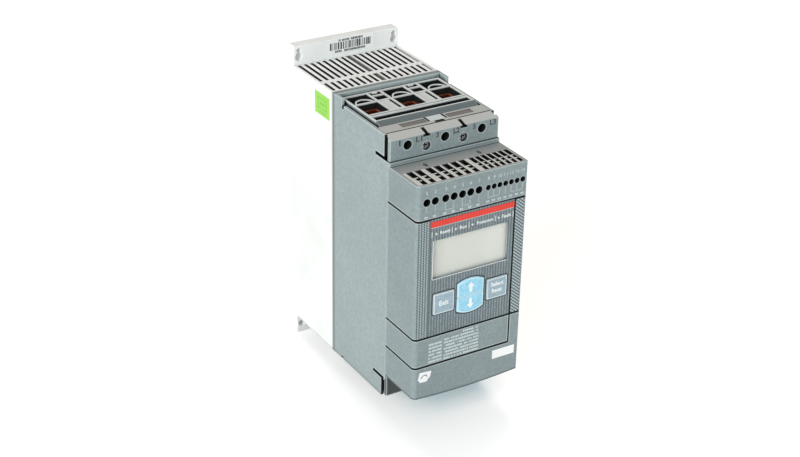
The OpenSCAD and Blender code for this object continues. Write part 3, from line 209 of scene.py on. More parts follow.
class Finish:
    """A material, or the world: a node tree with Object coordinates, built up node by node."""

    def __init__(self, name, owner=None):
        self.owner = owner or bpy.data.materials.new(name)
        self.owner.use_nodes = True
        self.tree = self.owner.node_tree
        self.tree.nodes.clear()
        self.place = self.add("ShaderNodeTexCoord").out("Object")

    def add(self, kind, sockets=None, **settings):
        """A node of a kind: its settings, then a number, colour or link for each socket."""
        node = self.tree.nodes.new(kind)
        for key, value in settings.items():
            setattr(node, key, value)
        for key, value in (sockets or {}).items():
            if isinstance(value, Value):
                self.tree.links.new(value.socket, node.inputs[key])
            else:
                node.inputs[key].default_value = value
        return Value(self, node.outputs[0]) if node.outputs else None

    def axes(self):
        """X, depth and Z of a point, as numbers."""
        split = self.add("ShaderNodeSeparateXYZ", {0: self.place})
        return split.out("X"), split.out("Y") * -1.0, split.out("Z")

    def noise(self, size, detail=2.0, stretch=(1.0, 1.0, 1.0)):
        """Soft noise from 0 to 1 with lumps of about a size, longer along a small stretch."""
        scaled = self.add("ShaderNodeVectorMath", {0: self.place, 1: stretch}, operation="MULTIPLY")
        sockets = {"Vector": scaled, "Scale": 1.0 / size, "Detail": detail}
        return self.add("ShaderNodeTexNoise", sockets)

    def mix(self, factor, first, second):
        """Colour between two colours."""
        return self.add("ShaderNodeMix", {0: factor, 6: first, 7: second}, data_type="RGBA").out(2)

    def soft_edges(self, radius):
        """Normals rounded over the edges, as a moulding's small radii are."""
        return self.add("ShaderNodeBevel", {"Radius": radius}, samples=4)

    def openness(self, reach):
        """1 in the open, towards 0 in hollows and inner corners, looking out as far as reach."""
        return self.add("ShaderNodeAmbientOcclusion", {"Distance": reach}, samples=8).out("AO")

    def rim(self, reach):
        """0 on flat faces, 1 on outer edges: looks into the solid for the next face."""
        seen = self.add("ShaderNodeAmbientOcclusion", {"Distance": reach}, samples=8, inside=True,
                        only_local=True)
        return (1.0 - seen.out("AO")).clip(0.06, 0.32)

    def bump(self, height, depth, normal=None):
        """Normals of a surface that rises by depth metres where height is 1."""
        sockets = {"Height": height, "Distance": depth, "Strength": 1.0}
        if normal is not None:
            sockets["Normal"] = normal
        return self.add("ShaderNodeBump", sockets)

    def seen(self):
        """1 for what the camera sees, straight or through clear plastic, else 0."""
        path = self.add("ShaderNodeLightPath")
        return (path.out("Is Camera Ray") + path.out("Is Transmission Ray")).clip()

    def surface(self, colour, roughness, normal=None, **constants):
        """Ends a recipe: colour, roughness and normals may vary, the constants are numbers."""
        sockets = {"Base Color": colour, "Roughness": roughness}
        if normal is not None:
            sockets["Normal"] = normal
        sockets.update({key.replace("_", " "): value for key, value in constants.items()})
        shader = self.add("ShaderNodeBsdfPrincipled", sockets)
        self.add("ShaderNodeOutputMaterial", {"Surface": shader})
        return self.owner


def rgba(colour, factor=1.0):
    """A colour with four parts, made lighter or darker by a factor."""
    return (*[min(1.0, part * factor) for part in colour], 1.0)


def in_circle(across, along, radius):
    """1 where two distances from a middle lie inside a circle, else 0."""
    return (across * across + along * along) < radius ** 2


def plastic_colour(finish, colour, pale, reach=7 * MM, mottling=0.7):
    """Aged plastic: cloudy, mottled and speckled, with a painted highlight on outer edges.

    Gives the colour, the specks, and a mask of the hollows where shade is painted."""
    cloud = finish.noise(28 * MM, 3.0)
    mottle = finish.noise(2.0 * MM, 2.0)
    speck = finish.noise(0.5 * MM, 2.0)
    body = finish.mix(cloud.clip(0.3, 0.7), rgba(colour, 0.99), rgba(colour, 1.11))
    body = finish.mix(mottle.clip(0.35, 0.7) * mottling, body, rgba(colour, 0.78))
    body = finish.mix(speck.clip(0.35, 0.75) * 0.3, body, rgba(colour, 0.8))
    # painted highlight along the outer edges
    body = finish.mix(finish.rim(1.1 * MM) * 0.7, body, rgba(pale))
    # mask of the hollows for painted shade, from ambient occlusion
    return body, speck, 1.0 - finish.openness(reach).clip(0.28, 0.62)


def plastic_surface(finish, body, speck, hollow_shade, dark, roughness=0.52, gloss=0.5):
    """Ends a plastic recipe: painted shade in the hollows, a spark-eroded grain and small edge
    radii.
    """
    normal = finish.bump(speck, 0.02 * MM, finish.soft_edges(0.4 * MM))
    # the hollows' mask takes the colour of the painted shade
    return finish.surface(finish.mix(hollow_shade, body, dark), roughness + (speck - 0.5) * 0.2, normal,
                          Specular_IOR_Level=gloss)


def moulded(name, colour, roughness=0.52, pale=None, gloss=0.5, hollow_shade_level=0.1):
    """Moulded plastic; in its hollows the colour is multiplied by a level of painted shade."""
    finish = Finish(name)
    pale = pale or tuple(part * 1.6 for part in colour)
    body, speck, hollow_shade = plastic_colour(finish, colour, pale)
    return plastic_surface(finish, body, speck, hollow_shade, rgba(colour, hollow_shade_level), roughness, gloss)


def joint_mask(place, edge=0.42 * MM):
    """1 in the open joints between the covers and on their edges, and beside the right strip. The
    finishes paint shade there, and a highlight on a wider edge.

    A joint's faces lie half a gap above and below its middle. The right strip runs past the lowest
    joint, and the groove beside it runs from the highest joint to the lowest."""
    x, depth, z = place
    upper, middle, lower = (z.near(height, JOINT_HALF + edge) for height in JOINTS)
    left_of_strip = x < STRIP_EDGE - SKIN / 2
    groove = x.between(FASCIA_HIGH.x - GROOVE_LAP, STRIP_EDGE + GROOVE_LAP)
    groove = groove * (depth > FACE - GROOVE_DEEP) * z.between(JOINTS[2], JOINTS[0])
    return (upper + middle + lower * left_of_strip + groove).clip()


def lipped(finish, body, pale, place):
    """The covers' colour with a painted highlight on the lips along the joints."""
    # painted highlight on the lips of the joints
    return finish.mix(joint_mask(place, 1.1 * MM) * 0.3, body, rgba(pale))


def cover_plastic(name, colour, pale):
    """Moulded plastic of the front covers, with painted shade in and beside the joints, a painted
    highlight on the lips, and painted shade along the bowed foot.

    The foot's lowest point is in the middle; from there it rises with the square of X."""
    finish = Finish(name)
    x, _, z = place = finish.axes()
    body, speck, hollow_shade = plastic_colour(finish, colour, pale)
    body = lipped(finish, body, pale, place)
    above_foot = z - BASE_LOW.z - x * x * FOOT_CURVE
    # painted shade: the joints, and a band along the bowed foot
    dark = hollow_shade + (joint_mask(place) + (1.0 - above_foot.clip(*FOOT_EDGE)) * 0.8)
    return plastic_surface(finish, body, speck, dark.clip(), rgba(colour, 0.05))


def terminal_cover_plastic(name, colour, pale, lit_top_tint, field_highlight):
    """Plastic of the control terminal cover: the top painted in the warm tint of light from above,
    and a painted highlight on the top round the wire entries.

    A screw hole's wall lies just behind the front face, and an entry's just under the top face;
    nothing else of the cover is there. Both are painted dark as shade, and so are the rear edge of
    the top, the rims round the holes, and the left and rear edges of the entries. Two oval pips are
    painted dark too."""
    finish = Finish(name)
    x, depth, z = place = finish.axes()
    body, speck, hollow_shade = plastic_colour(finish, colour, pale)
    body = lipped(finish, body, pale, place)
    top = CONTROL_HIGH.z
    on_top = z > top - SKIN
    field = depth.between(FIELD_BACK, FIELD_FRONT) * (abs(x) < FIELD_HALF)
    # painted light: the top in the warm tint of light from above, a painted highlight round the
    # entries
    body = finish.mix(on_top * 0.75, body, rgba(lit_top_tint))
    body = finish.mix(on_top * field * 0.75, body, rgba(field_highlight))
    # painted shade on the walls of holes and entries, round the holes, at the rear edge, beside
    # entries
    hole = depth.between(FACE - HOLE_DEEP, FACE - SKIN) * z.near(HOLES_Z, HOLE_HALF)
    hole = hole * x.between(HOLES_LEFT, HOLES_RIGHT)
    entry = z.between(top - ENTRY_DEEP, top - SKIN) * field
    along = (depth - PIP_DEPTH) * 0.5
    pips = sum(in_circle(x - mid, along, PIP_R) for mid in PIP_X)
    rear = depth < SHROUD_FACE + REAR_EDGE
    rims = sum(in_circle(x - mid, z - HOLES_Z, radius) for mid, radius in RIMS)
    rims = rims * (depth > FACE - 1.5 * SKIN)
    beside = sum(x.between(*edges) for edges in ENTRY_EDGES)
    beside = beside * depth.between(FIELD_BACK, ENTRY_TOOTH)
    dark = joint_mask(place) + hole + entry + rims + ((pips + rear) * 0.85 + beside) * on_top
    return plastic_surface(finish, body, speck, (hollow_shade + dark).clip(), rgba(colour, 0.03))


def block_plastic(name, colour, pale):
    """Plastic of the terminal blocks: rib tops and sunk fields painted pale, as wear and as a
    painted highlight; painted shade in cells and on the slope.

    Both ends are alike, so the height counts from the middle. The walls below the sunk fields,
    between the outer walls, are those of cells and wire wells."""
    finish = Finish(name)
    x, depth, z = finish.axes()
    height, crest, front = abs(z), BLOCK_HIGH.z, -BLOCK_LOW.y
    body, speck, hollow_shade = plastic_colour(finish, colour, pale, 12 * MM)
    top = (height > crest - RIB_TOP) + height.between(crest - DISH_LOW, crest - DISH_HIGH)
    worn_and_lit = top * (depth < front - PALE_TOPS_BACK)
    slope = depth.clip(front - SLOPE_BACK, front - SLOPE_FRONT) * (height > crest - SLOPE_H)
    # painted shade on the slope in front
    body = finish.mix(slope * 0.7, body, rgba(colour, 0.35))
    # rib tops and sunk fields painted pale: wear and a painted highlight
    body = finish.mix(worn_and_lit * 0.85, body, rgba(pale))
    # painted shade in the cells
    cell = depth.between(CELL_BACK - BLOCK_HIGH.y, front - CELL_FRONT) * (abs(x) < BLOCK_INNER)
    cell = cell * height.between(crest - CELL_FOOT, crest - CELL_TOP)
    dark = hollow_shade * (1.0 - worn_and_lit) + cell
    return plastic_surface(finish, body, speck, dark.clip(), rgba(colour, 0.05), gloss=0.3)


def shroud_plastic(name, colour, pale, lit_roof_colour, field_colour):
    """Plastic of the upper shroud: roof and bevel painted pale and warm as a highlight of light
    from above, two duller sunk fields, pale tongue.

    The roof is all that lies above the bevel's lower edge. The walls of the access and screw holes,
    just behind the front face, are painted dark as shade. So are the T slots, the cuts and the
    notch round the tongue, the line along the bevel, and the corner over the ledge, each with
    painted shade over its edges."""
    finish = Finish(name)
    x, depth, z = finish.axes()
    body, speck, hollow_shade = plastic_colour(finish, colour, pale)
    # painted highlight: roof and bevel pale and warm, as lit from above
    body = finish.mix((z > ROOF - BEVEL_DROP - SKIN) * 0.8, body, rgba(lit_roof_colour))
    from_tongue, from_rear = abs(x - TONGUE_X), depth - SHROUD_REAR
    sunk = z.between(SUNK_LOW, SUNK_HIGH) * depth.between(SUNK_BACK, SUNK_FRONT)
    sunk = sunk * from_tongue.between(SUNK_NEAR, SUNK_FAR)
    body = finish.mix(sunk, body, rgba(field_colour))
    tongue = (from_tongue < TONGUE_HALF) * (z > ROOF - SKIN) * (depth < SHROUD_REAR + TONGUE_L)
    body = finish.mix(tongue * 0.6, body, rgba(pale, 1.2))
    # painted shade: hole walls, T slots, cuts, notch, line along the bevel, corner over the ledge
    hole = depth.between(SHROUD_FACE - ACCESS_L, SHROUD_FACE - SKIN) * (abs(x) < ACCESS_HALF)
    hole = hole * z.between(ACCESS_Z - ACCESS_FALL, ACCESS_Z + ACCESS_RISE)
    from_tee = abs(abs(x) - TEE_X)
    stem = (from_tee < STEM_HALF) * (z > ROOF - STEM_DROP) * (depth > SHROUD_FACE - STEM_L)
    tee = (from_tee < TEE_HALF) * z.between(ROOF - TEE_LOW, ROOF - TEE_HIGH)
    tee = tee * (depth > SHROUD_FACE - TEE_L)
    corner = z.between(LEDGE_TOP - SKIN / 2, LEDGE_TOP + CORNER_RISE) * 0.7
    cuts = from_tongue.near(CUT_OFF, CUT_HALF) * (from_rear < CUT_L)
    notch = (from_tongue < NOTCH_HALF) * from_rear.near(NOTCH_BACK, NOTCH_REACH)
    line = depth.near(SHROUD_FACE - LINE_BACK, LINE_HALF) * 0.7
    on_roof = (cuts + notch + line) * (z > ROOF - ROOF_DEEP)
    dark = hollow_shade + hole + stem + tee + corner + on_roof
    return plastic_surface(finish, body, speck, dark.clip(), rgba(colour, 0.04))


def housing_plastic(name, colour, pale):
    """Plastic of the main housing, with painted shade: darker along seam and foot, black in snap
    slots and set-backs.

    The slots and the set-back edges belong to the side walls, just inside their outer faces."""
    finish = Finish(name)
    x, depth, z = finish.axes()
    body, speck, hollow_shade = plastic_colour(finish, colour, pale)
    # painted shade along the seam with the rear housing and along the foot
    seam = 1.0 - depth.clip(*SEAM_SHADE)
    foot = 1.0 - (z - HOUSING_LOW.z).clip(*SIDE_FOOT)
    body = finish.mix((seam * 0.75 + foot * 0.4).clip(), body, rgba(colour, 0.3))
    # painted shade in the snap slots and on the set-back edges
    in_wall = abs(x) < HOUSING_HIGH.x - SKIN / 2
    slot = sum(z.near(low + SNAP_HALF, SNAP_HALF + SKIN / 2) for low in SNAP_LOWS)
    slot = slot * (depth > SET_BACK - SNAP_L)
    edge = depth.near(SET_BACK, EDGE_HALF) * (abs(z) > SNAP_LOWS[0])
    dark = hollow_shade + in_wall * (slot + edge)
    return plastic_surface(finish, body, speck, dark.clip(), rgba(colour, 0.03))


def duct_plastic(name, colour, pale, shade, duct_shade, web_colour):
    """Pale plastic of the rear housing, painted near black inside the air duct as shade.

    A point is in the duct if it is nearer the middle than side and end walls and in front of the
    back. The walls of the middle slot are grey; foot and front edge of the sides are painted
    darker as shade."""
    finish = Finish(name)
    x, depth, z = finish.axes()
    body, speck, hollow_shade = plastic_colour(finish, colour, pale, 4 * MM, 0.08)
    inside = (abs(x) < DUCT_SIDE) * (abs(z) < DUCT_END) * (depth > DUCT_BACK)
    in_row = sum(depth.between(*row) for row in GRILLE_ROWS)
    web = (abs(x) < WEB_HALF) * (abs(z) > DUCT_END - GRILLE_L) * in_row
    # painted shade along the foot
    foot = z.near(-DUCT_END, DUCT_FOOT) * (abs(x) > DUCT_SIDE) * (depth > FLANGE_EDGE)
    body = finish.mix(foot * 0.4, body, rgba(colour, 0.3))
    # painted shade on the front edge of the sides, at the seam
    body = finish.mix(depth.clip(*REAR_SEAM_SHADE) * 0.8, body, rgba(shade, 0.5))
    # painted shade inside the duct
    body = finish.mix(inside, body, rgba(duct_shade))
    body = finish.mix(web, body, rgba(web_colour))
    return plastic_surface(finish, body, speck, hollow_shade * 0.6, rgba(colour, 0.3))


def knurled(name, colour, pale):
    """Plastic of the display housing, with knurled strips: dots on the left, diamonds on the right.

    A dot's height is the product of two triangle waves, in X and in Z; a diamond's waves run along
    two slants."""
    finish = Finish(name)
    x, depth, z = place = finish.axes()
    body, speck, hollow_shade = plastic_colour(finish, colour, pale)
    dots = x.wave(DOT_X) * z.wave(DOT_Z)
    diamonds = (x + z * RISE).wave(DIAMOND) * ((x - z * FALL).wave(DIAMOND) * 0.6 + 0.4)
    in_front = (depth > FACE - STRIP_SKIN) * (abs(x) < STRIP_HALF)
    left = (x < FASCIA_LOW.x) * in_front
    right = (x > STRIP_EDGE) * in_front
    raised = dots.clip(0.08, 0.4) * left + diamonds.clip(0.15, 0.6) * right
    strip = left + right
    body = lipped(finish, body, pale, place)
    # painted light and shade on the knurl: raised parts pale, the dips between them dark
    knurl_light_and_shade = finish.mix(raised, rgba(colour, 0.3), rgba(colour, 1.9))
    body = finish.mix(strip * 0.85, body, knurl_light_and_shade)
    dark = hollow_shade * (1.0 - strip) + joint_mask(place)
    body = finish.mix(dark.clip(), body, rgba(colour, 0.05))
    normal = finish.bump(raised + speck * 0.05, 0.2 * MM, finish.soft_edges(0.4 * MM))
    return finish.surface(body, 0.5 + (speck - 0.5) * 0.2, normal)


def printed_film(name, colour, stripe_gain=1.0, pitch=2.3 * MM):
    """Satin film with fine upright pinstripes and a leather-like micro grain."""
    finish = Finish(name)
    x = finish.axes()[0]
    grain = finish.noise(0.5 * MM, 3.0, (1.0, 1.0, 0.35))
    cloud = finish.noise(16 * MM)
    pin = x.wave(pitch).clip(0.2, 0.8) * grain.clip(0.25, 0.6)
    body = finish.mix(cloud.clip(0.3, 0.7), rgba(colour, 0.95), rgba(colour, 1.05))
    body = finish.mix(pin * stripe_gain, body, rgba(colour, 1.8))
    body = finish.mix((1.0 - pin) * 0.6 * stripe_gain, body, rgba(colour, 0.5))
    # painted shade near raised edges and keys
    body = finish.mix(1.0 - finish.openness(2.5 * MM).clip(0.2, 0.9), body, rgba(colour, 0.25))
    return finish.surface(body, 0.42 + (grain - 0.5) * 0.25, finish.bump(grain, 0.012 * MM))


def plated(name, colour, roughness, tarnish, dull=1.0, head=None, along=(1.0, 1.0, 0.15)):
    """Metal with drawn streaks, dull patches, brighter edges as wear and a painted highlight, and
    tarnish and painted shade in its hollows.

    Where a screw head's depth is given, what lies behind its face, the cross recess, is painted
    black as shade."""
    finish = Finish(name)
    streak = finish.noise(0.35 * MM, 4.0, along)
    patch = finish.noise(5 * MM, 4.0)
    hollow_shade = 1.0 - finish.openness(5 * MM).clip(0.1, 0.7)
    body = finish.mix(patch.clip(0.45, 0.8) * 0.55, rgba(colour), rgba(tarnish))
    # edges painted brighter: wear and a painted highlight
    body = finish.mix(finish.rim(0.4 * MM) * 0.6, body, rgba(colour, 1.3))
    # darker in the hollows: tarnish and painted shade
    body = finish.mix(hollow_shade * dull, body, rgba(tarnish, 0.4))
    if head:
        # the cross recess painted black as shade
        body = finish.mix(finish.axes()[1] < head - SKIN, body, rgba(tarnish, 0.03))
    rough = roughness + (streak - 0.5) * 0.25 + patch.clip(0.5, 0.8) * 0.15
    normal = finish.bump(streak, 0.008 * MM, finish.soft_edges(0.25 * MM))
    return finish.surface(body, rough, normal, Metallic=1.0)


def circuit_board(name, colour, tin):
    """Solder mask over copper tracks: thin lines of a brick pattern, and pads on a coarse grid."""
    finish = Finish(name)
    x, _, z = finish.axes()
    tracks = finish.add("ShaderNodeTexBrick", {
        "Vector": finish.add("ShaderNodeCombineXYZ", {0: x, 1: z}), "Scale": 1.0,
        "Mortar Size": 0.25 * MM, "Brick Width": 7.0 * MM, "Row Height": 2.2 * MM,
        "Color1": (0, 0, 0, 1), "Color2": (0, 0, 0, 1), "Mortar": (1, 1, 1, 1)})
    pad_size = 1.1 * MM
    pad = ((x % (5.08 * MM)) < pad_size) * ((z % (7.62 * MM)) < pad_size)
    cloud = finish.noise(9 * MM)
    body = finish.mix(cloud.clip(0.3, 0.7), rgba(colour, 0.85), rgba(colour, 1.15))
    body = finish.mix(tracks, body, rgba(colour, 1.9))
    body = finish.mix(pad, body, rgba(tin))
    return finish.surface(body, 0.28 + pad * 0.1, finish.bump(tracks, 0.03 * MM))


def liquid_crystal(name, colour):
    """Display with no power: pale grey-green, a faint dot matrix and faint upright shading."""
    finish = Finish(name)
    x, _, z = finish.axes()
    cell, line = 0.48 * MM, 0.05 * MM
    gap = ((x % cell) < line) + ((z % cell) < line)
    shade = finish.noise(24 * MM, 2.0, (1.0, 1.0, 0.1))
    body = finish.mix(shade.clip(0.35, 0.65), rgba(colour, 0.96), rgba(colour, 1.03))
    body = finish.mix(gap.clip() * 0.18, body, rgba(colour, 0.8))
    return finish.surface(body, 0.35 + shade * 0.1)


def clear_pane(name, dull, bright):
    """Clear plastic window: mostly see-through, with a faint haze of fine wiping marks."""
    finish = Finish(name)
    marks = finish.noise(0.6 * MM, 4.0, (1.0, 1.0, 0.2))
    haze = finish.mix(marks.clip(0.4, 0.8), rgba(dull), rgba(bright))
    return finish.surface(haze, 0.12 + marks * 0.1, Alpha=0.12)


def lens(name, colour):
    """Clear moulded light guide: milky, glossy, a little darker towards its rim."""
    finish = Finish(name)
    milk = finish.noise(0.8 * MM)
    body = finish.mix(milk.clip(0.3, 0.7), rgba(colour, 0.9), rgba(colour, 1.05))
    body = finish.mix(finish.rim(0.3 * MM) * 0.5, body, rgba(colour, 0.6))
    return finish.surface(body, 0.2 + milk * 0.1, finish.soft_edges(0.2 * MM), Coat_Weight=0.4)


def paper(name, colour):
    """Sticker paper or print: faint clouding and fine fibres."""
    finish = Finish(name)
    fibre = finish.noise(0.5 * MM, 4.0)
    cloud = finish.noise(12 * MM)
    body = finish.mix(cloud.clip(0.3, 0.7), rgba(colour, 0.96), rgba(colour, 1.02))
    body = finish.mix(fibre.clip(0.45, 0.8) * 0.25, body, rgba(colour, 0.9))
    return finish.surface(body, 0.48 + (fibre - 0.5) * 0.2, finish.bump(fibre, 0.006 * MM))


GREY = (0.315, 0.372, 0.378)
FRONT_GREY = (0.248, 0.303, 0.316)
PALE_EDGE = (0.56, 0.63, 0.64)

recipes = {
    # rear housing: the grey of the seam shade, the near black painted shade of the duct, the middle
    # web
    "rear_plastic": (duct_plastic, (0.80, 0.815, 0.80), (0.92, 0.92, 0.92), GREY,
                     (0.022, 0.021, 0.020), (0.22, 0.215, 0.20)),
    "grey_plastic": (moulded, GREY, 0.52, PALE_EDGE),
    "housing_plastic": (housing_plastic, GREY, PALE_EDGE),
    "front_plastic": (cover_plastic, FRONT_GREY, PALE_EDGE),
    # control terminal cover: the top's painted warm light, and the pale painted highlight round the
    # entries
    "terminal_cover_plastic": (terminal_cover_plastic, FRONT_GREY, PALE_EDGE,
                               (0.295, 0.300, 0.292), (0.66, 0.655, 0.63)),
    "block_plastic": (block_plastic, (0.22, 0.265, 0.275), (0.68, 0.70, 0.69)),
    # shroud: the roof's painted highlight of light from above, then the sunk fields
    "shroud_plastic": (shroud_plastic, FRONT_GREY, PALE_EDGE, (0.48, 0.475, 0.455),
                       (0.17, 0.16, 0.15)),
    # lower shroud: its grey plastic painted near black, as the shade it lies in
    "shade_plastic": (moulded, (0.062, 0.070, 0.074), 0.52, (0.50, 0.54, 0.55)),
    "strip_plastic": (knurled, FRONT_GREY, PALE_EDGE),
    "fascia_film": (printed_film, (0.165, 0.204, 0.222)),
    "red_film": (printed_film, (0.76, 0.045, 0.030), 0.15),
    "key_grey": (moulded, (0.335, 0.44, 0.51), 0.42, (0.75, 0.82, 0.86)),
    "key_blue": (moulded, (0.33, 0.66, 0.84), 0.4, (0.72, 0.88, 0.94), 0.5, 0.9),
    "window_clear": (clear_pane, (0.80, 0.82, 0.80), (0.90, 0.92, 0.90)),
    "display_grey": (liquid_crystal, (0.725, 0.735, 0.685)),
    "light_lens": (lens, (0.72, 0.74, 0.74)),
    "mat_rubber": (moulded, (0.10, 0.10, 0.10), 0.75),
    "board_green": (circuit_board, (0.03, 0.16, 0.07), (0.62, 0.60, 0.52)),
    "strip_black": (moulded, (0.016, 0.016, 0.018), 0.6, None, 0.15),
    "module_grey": (moulded, (0.16, 0.16, 0.165), 0.55),
    "relay_blue": (moulded, (0.05, 0.14, 0.36), 0.4),
    "transformer_red": (moulded, (0.34, 0.09, 0.06), 0.55),
    "copper": (plated, (0.72, 0.36, 0.20), 0.3, (0.30, 0.14, 0.09)),
    "cage_metal": (plated, (0.46, 0.15, 0.085), 0.42, (0.16, 0.05, 0.03), 0.6),
    "screw_steel": (plated, (0.52, 0.53, 0.52), 0.32, (0.30, 0.29, 0.27)),
    "bright_steel": (plated, (0.80, 0.82, 0.82), 0.36, (0.55, 0.56, 0.55), 0.25,
                     front_of("shroud_screws")),
    "sink_aluminium": (plated, (0.55, 0.55, 0.54), 0.4, (0.3, 0.3, 0.3), 1.0, None,
                       (1.0, 1.0, 0.02)),
    "fan_black": (moulded, (0.025, 0.025, 0.027), 0.5),
    "ink_white": (paper, (0.88, 0.90, 0.90)),
    "ink_faint": (paper, (0.56, 0.62, 0.63)),
    "ink_dark": (paper, (0.045, 0.055, 0.06)),
    "ink_grey": (paper, (0.04, 0.05, 0.055)),
    "ink_soft": (paper, (0.62, 0.68, 0.70)),
    # pale bands on the keys' edges: painted highlights
    "key_border": (paper, (0.70, 0.79, 0.84)),
    "arrow_border": (paper, (0.66, 0.86, 0.93)),
    "sticker_white": (paper, (0.90, 0.91, 0.90)),
    "sticker_pale": (paper, (0.84, 0.855, 0.845)),
    "sticker_green": (paper, (0.30, 0.66, 0.09)),
    "sticker_green_dark": (paper, (0.22, 0.55, 0.07)),
}
finishes = {name: make(name, *values) for name, (make, *values) in recipes.items()}
own_finish = {
    "main_housing": "housing_plastic", "display_housing": "strip_plastic",
    "upper_shroud": "shroud_plastic", "lower_shroud": "shade_plastic",
    "shroud_screws": "bright_steel", "control_terminal_cover": "terminal_cover_plastic"}
for part in frame["record"]["subparts"]:
    mesh = nodes[part["node"]].data
    mesh.materials.clear()
    mesh.materials.append(finishes[own_finish.get(part["node"], part["material_slot"])])


# Shapes of the thin pieces, as whole arrays

PRINT = 0.04 * MM
SQUARE = ((0, 0), (1, 0), (1, 1), (0, 1))
UNIT_CORNERS = np.array([[x, y, z] for z in (0, 1) for x, y in SQUARE], float)
BOX_FACES = np.array([[0, 3, 2, 1], [4, 5, 6, 7], [0, 1, 5, 4], [1, 2, 6, 5], [2, 3, 7, 6],
                      [3, 0, 4, 7]])


def box_faces(count):
    """Faces of a number of boxes with eight points each."""
    return (BOX_FACES + 8 * np.arange(count)[:, None, None]).reshape(-1, 4)


def boxes(low, high):
    """N boxes at once: corner = low + unit corner * (high - low)."""
    points = low[:, None] + UNIT_CORNERS[None] * (high - low)[:, None]
    return points.reshape(-1, 3), box_faces(len(low))


def fields(rectangles, depth, thick=PRINT):
    """Thin boxes on a front face: each row of rectangles is x0, x1, z0, z1 in millimetres."""
    x0, x1, z0, z1 = np.asarray(rectangles, float).T * MM
    level = np.full(len(x0), -depth)
    return boxes(np.stack([x0, level - thick, z0], 1), np.stack([x1, level, z1], 1))


def side_fields(rectangles, level, thick):
    """Thin boxes on the left side: each row is depth0, depth1, z0, z1 in millimetres."""
    near, far, z0, z1 = np.asarray(rectangles, float).T * MM
    side = np.full(len(near), level)
    return boxes(np.stack([side - thick, -far, z0], 1), np.stack([side, -near, z1], 1))


def carried(plan, depth, thick=PRINT):
    """Points of a flat plan in X and Z at a depth, then the same points further forward."""
    levels = [np.insert(plan, 1, level, axis=-1) for level in (-depth, -depth - thick)]
    return np.concatenate(levels, axis=-2)


def strokes(segments, width, depth):
    """Thin bars on a front face along straight segments: corner = end +- half the width sideways.

    Each row of segments is x0, z0, x1, z1 in millimetres; the ends reach on by half the width."""
    s = np.asarray(segments, float) * MM
    start, end = s[:, :2], s[:, 2:]
    along = (end - start) / np.linalg.norm(end - start, axis=1, keepdims=True)
    side = np.stack([-along[:, 1], along[:, 0]], 1) * width / 2
    reach = along * width / 2
    plan = np.stack([start - reach - side, end + reach - side, end + reach + side,
                     start - reach + side], 1)
    return carried(plan, depth).reshape(-1, 3), box_faces(len(s))


def prism(outline, depth):
    """A flat outline in X and Z, in millimetres and anticlockwise from the front, made thick."""
    plan = np.asarray(outline, float) * MM
    n = len(plan)
    i = np.arange(n)
    j = (i + 1) % n
    sides = np.stack([i, j, j + n, i + n], 1)
    return carried(plan, depth), [i[::-1].tolist(), (i + n).tolist(), *sides.tolist()]


def band(outer, inner, depth):
    """A flat closed band between two outlines of the same length, in millimetres, made thick."""
    plan = np.concatenate([outer, inner]) * MM
    n = len(outer)
    m = 2 * n
    i = np.arange(n)
    j = (i + 1) % n
    faces = [[i, i + n, j + n, j], [i + m, j + m, j + n + m, i + n + m],
             [i, j, j + m, i + m], [i + n, i + n + m, j + n + m, j + n]]
    return carried(plan, depth), np.concatenate([np.stack(corners, 1) for corners in faces])


def studs(centres, corners, depths, height=0.18 * MM, sunk=0.15 * MM, crown=0.4):
    """N low frustums at once: base corner = centre + corner, top corner = centre + crown * corner.

    Centres and corners are X and Z, with the four corners anticlockwise as seen from the front.
    Each stud starts a little inside the face at its own depth and rises by the height."""
    base = centres[:, None] + corners[None]
    top = centres[:, None] + crown * corners[None]
    level = np.broadcast_to(-depths[:, None, None], (len(centres), 4, 1))
    back = np.concatenate([base[..., :1], level + sunk, base[..., 1:]], 2)
    front = np.concatenate([top[..., :1], level - height, top[..., 1:]], 2)
    return np.concatenate([back, front], 1).reshape(-1, 3), box_faces(len(centres))


def letters(rows, depth, weight=0.0):
    """Words and numbers set in the built-in font, each fitted to a box, all in one set of points.

    The weight swells the outlines, as bold type does. A row is the text and its box x0, x1, z0, z1
    in millimetres; point = box corner + share * box size."""
    all_points, all_faces, count = [], [], 0
    for text, x0, x1, z0, z1 in rows:
        curve = bpy.data.curves.new("letters", "FONT")
        curve.body = text
        curve.extrude = 0.5
        curve.offset = weight
        curve.resolution_u = 3
        setting = bpy.data.objects.new("letters", curve)
        collection.objects.link(setting)
        graph = bpy.context.evaluated_depsgraph_get()
        mesh = bpy.data.meshes.new_from_object(setting.evaluated_get(graph))
        points = np.empty(len(mesh.vertices) * 3)
        mesh.vertices.foreach_get("co", points)
        points = points.reshape(-1, 3)
        mesh.calc_loop_triangles()
        faces = np.empty(len(mesh.loop_triangles) * 3, np.int32)
        mesh.loop_triangles.foreach_get("vertices", faces)
        across, up, thick = ((points - points.min(0)) / np.ptp(points, axis=0)).T
        all_points.append(np.stack([(x0 + across * (x1 - x0)) * MM, -depth - PRINT * thick,
                                    (z0 + up * (z1 - z0)) * MM], 1))
        all_faces.append(faces.reshape(-1, 3) + count)
        count += len(points)
        bpy.data.objects.remove(setting)
        bpy.data.curves.remove(curve)
        bpy.data.meshes.remove(mesh)
    return np.concatenate(all_points), np.concatenate(all_faces)


def new_piece(name, points, faces, material):
    """An object at the origin, with its place in its mesh."""
    mesh = bpy.data.meshes.new(name)
    mesh.from_pydata(points, [], faces)
    mesh.materials.append(material)
    mesh.update()
    piece = bpy.data.objects.new(name, mesh)
    collection.objects.link(piece)
    return piece


def lay(name, shape, finish, body="frame"):
    """Makes a piece from points and faces, with a finish by name, and lets it ride on a body."""
    points, faces = shape
    faces = faces if isinstance(faces, list) else faces.tolist()
    piece = new_piece(name, points.tolist(), faces, finishes[finish])
    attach(piece, body)


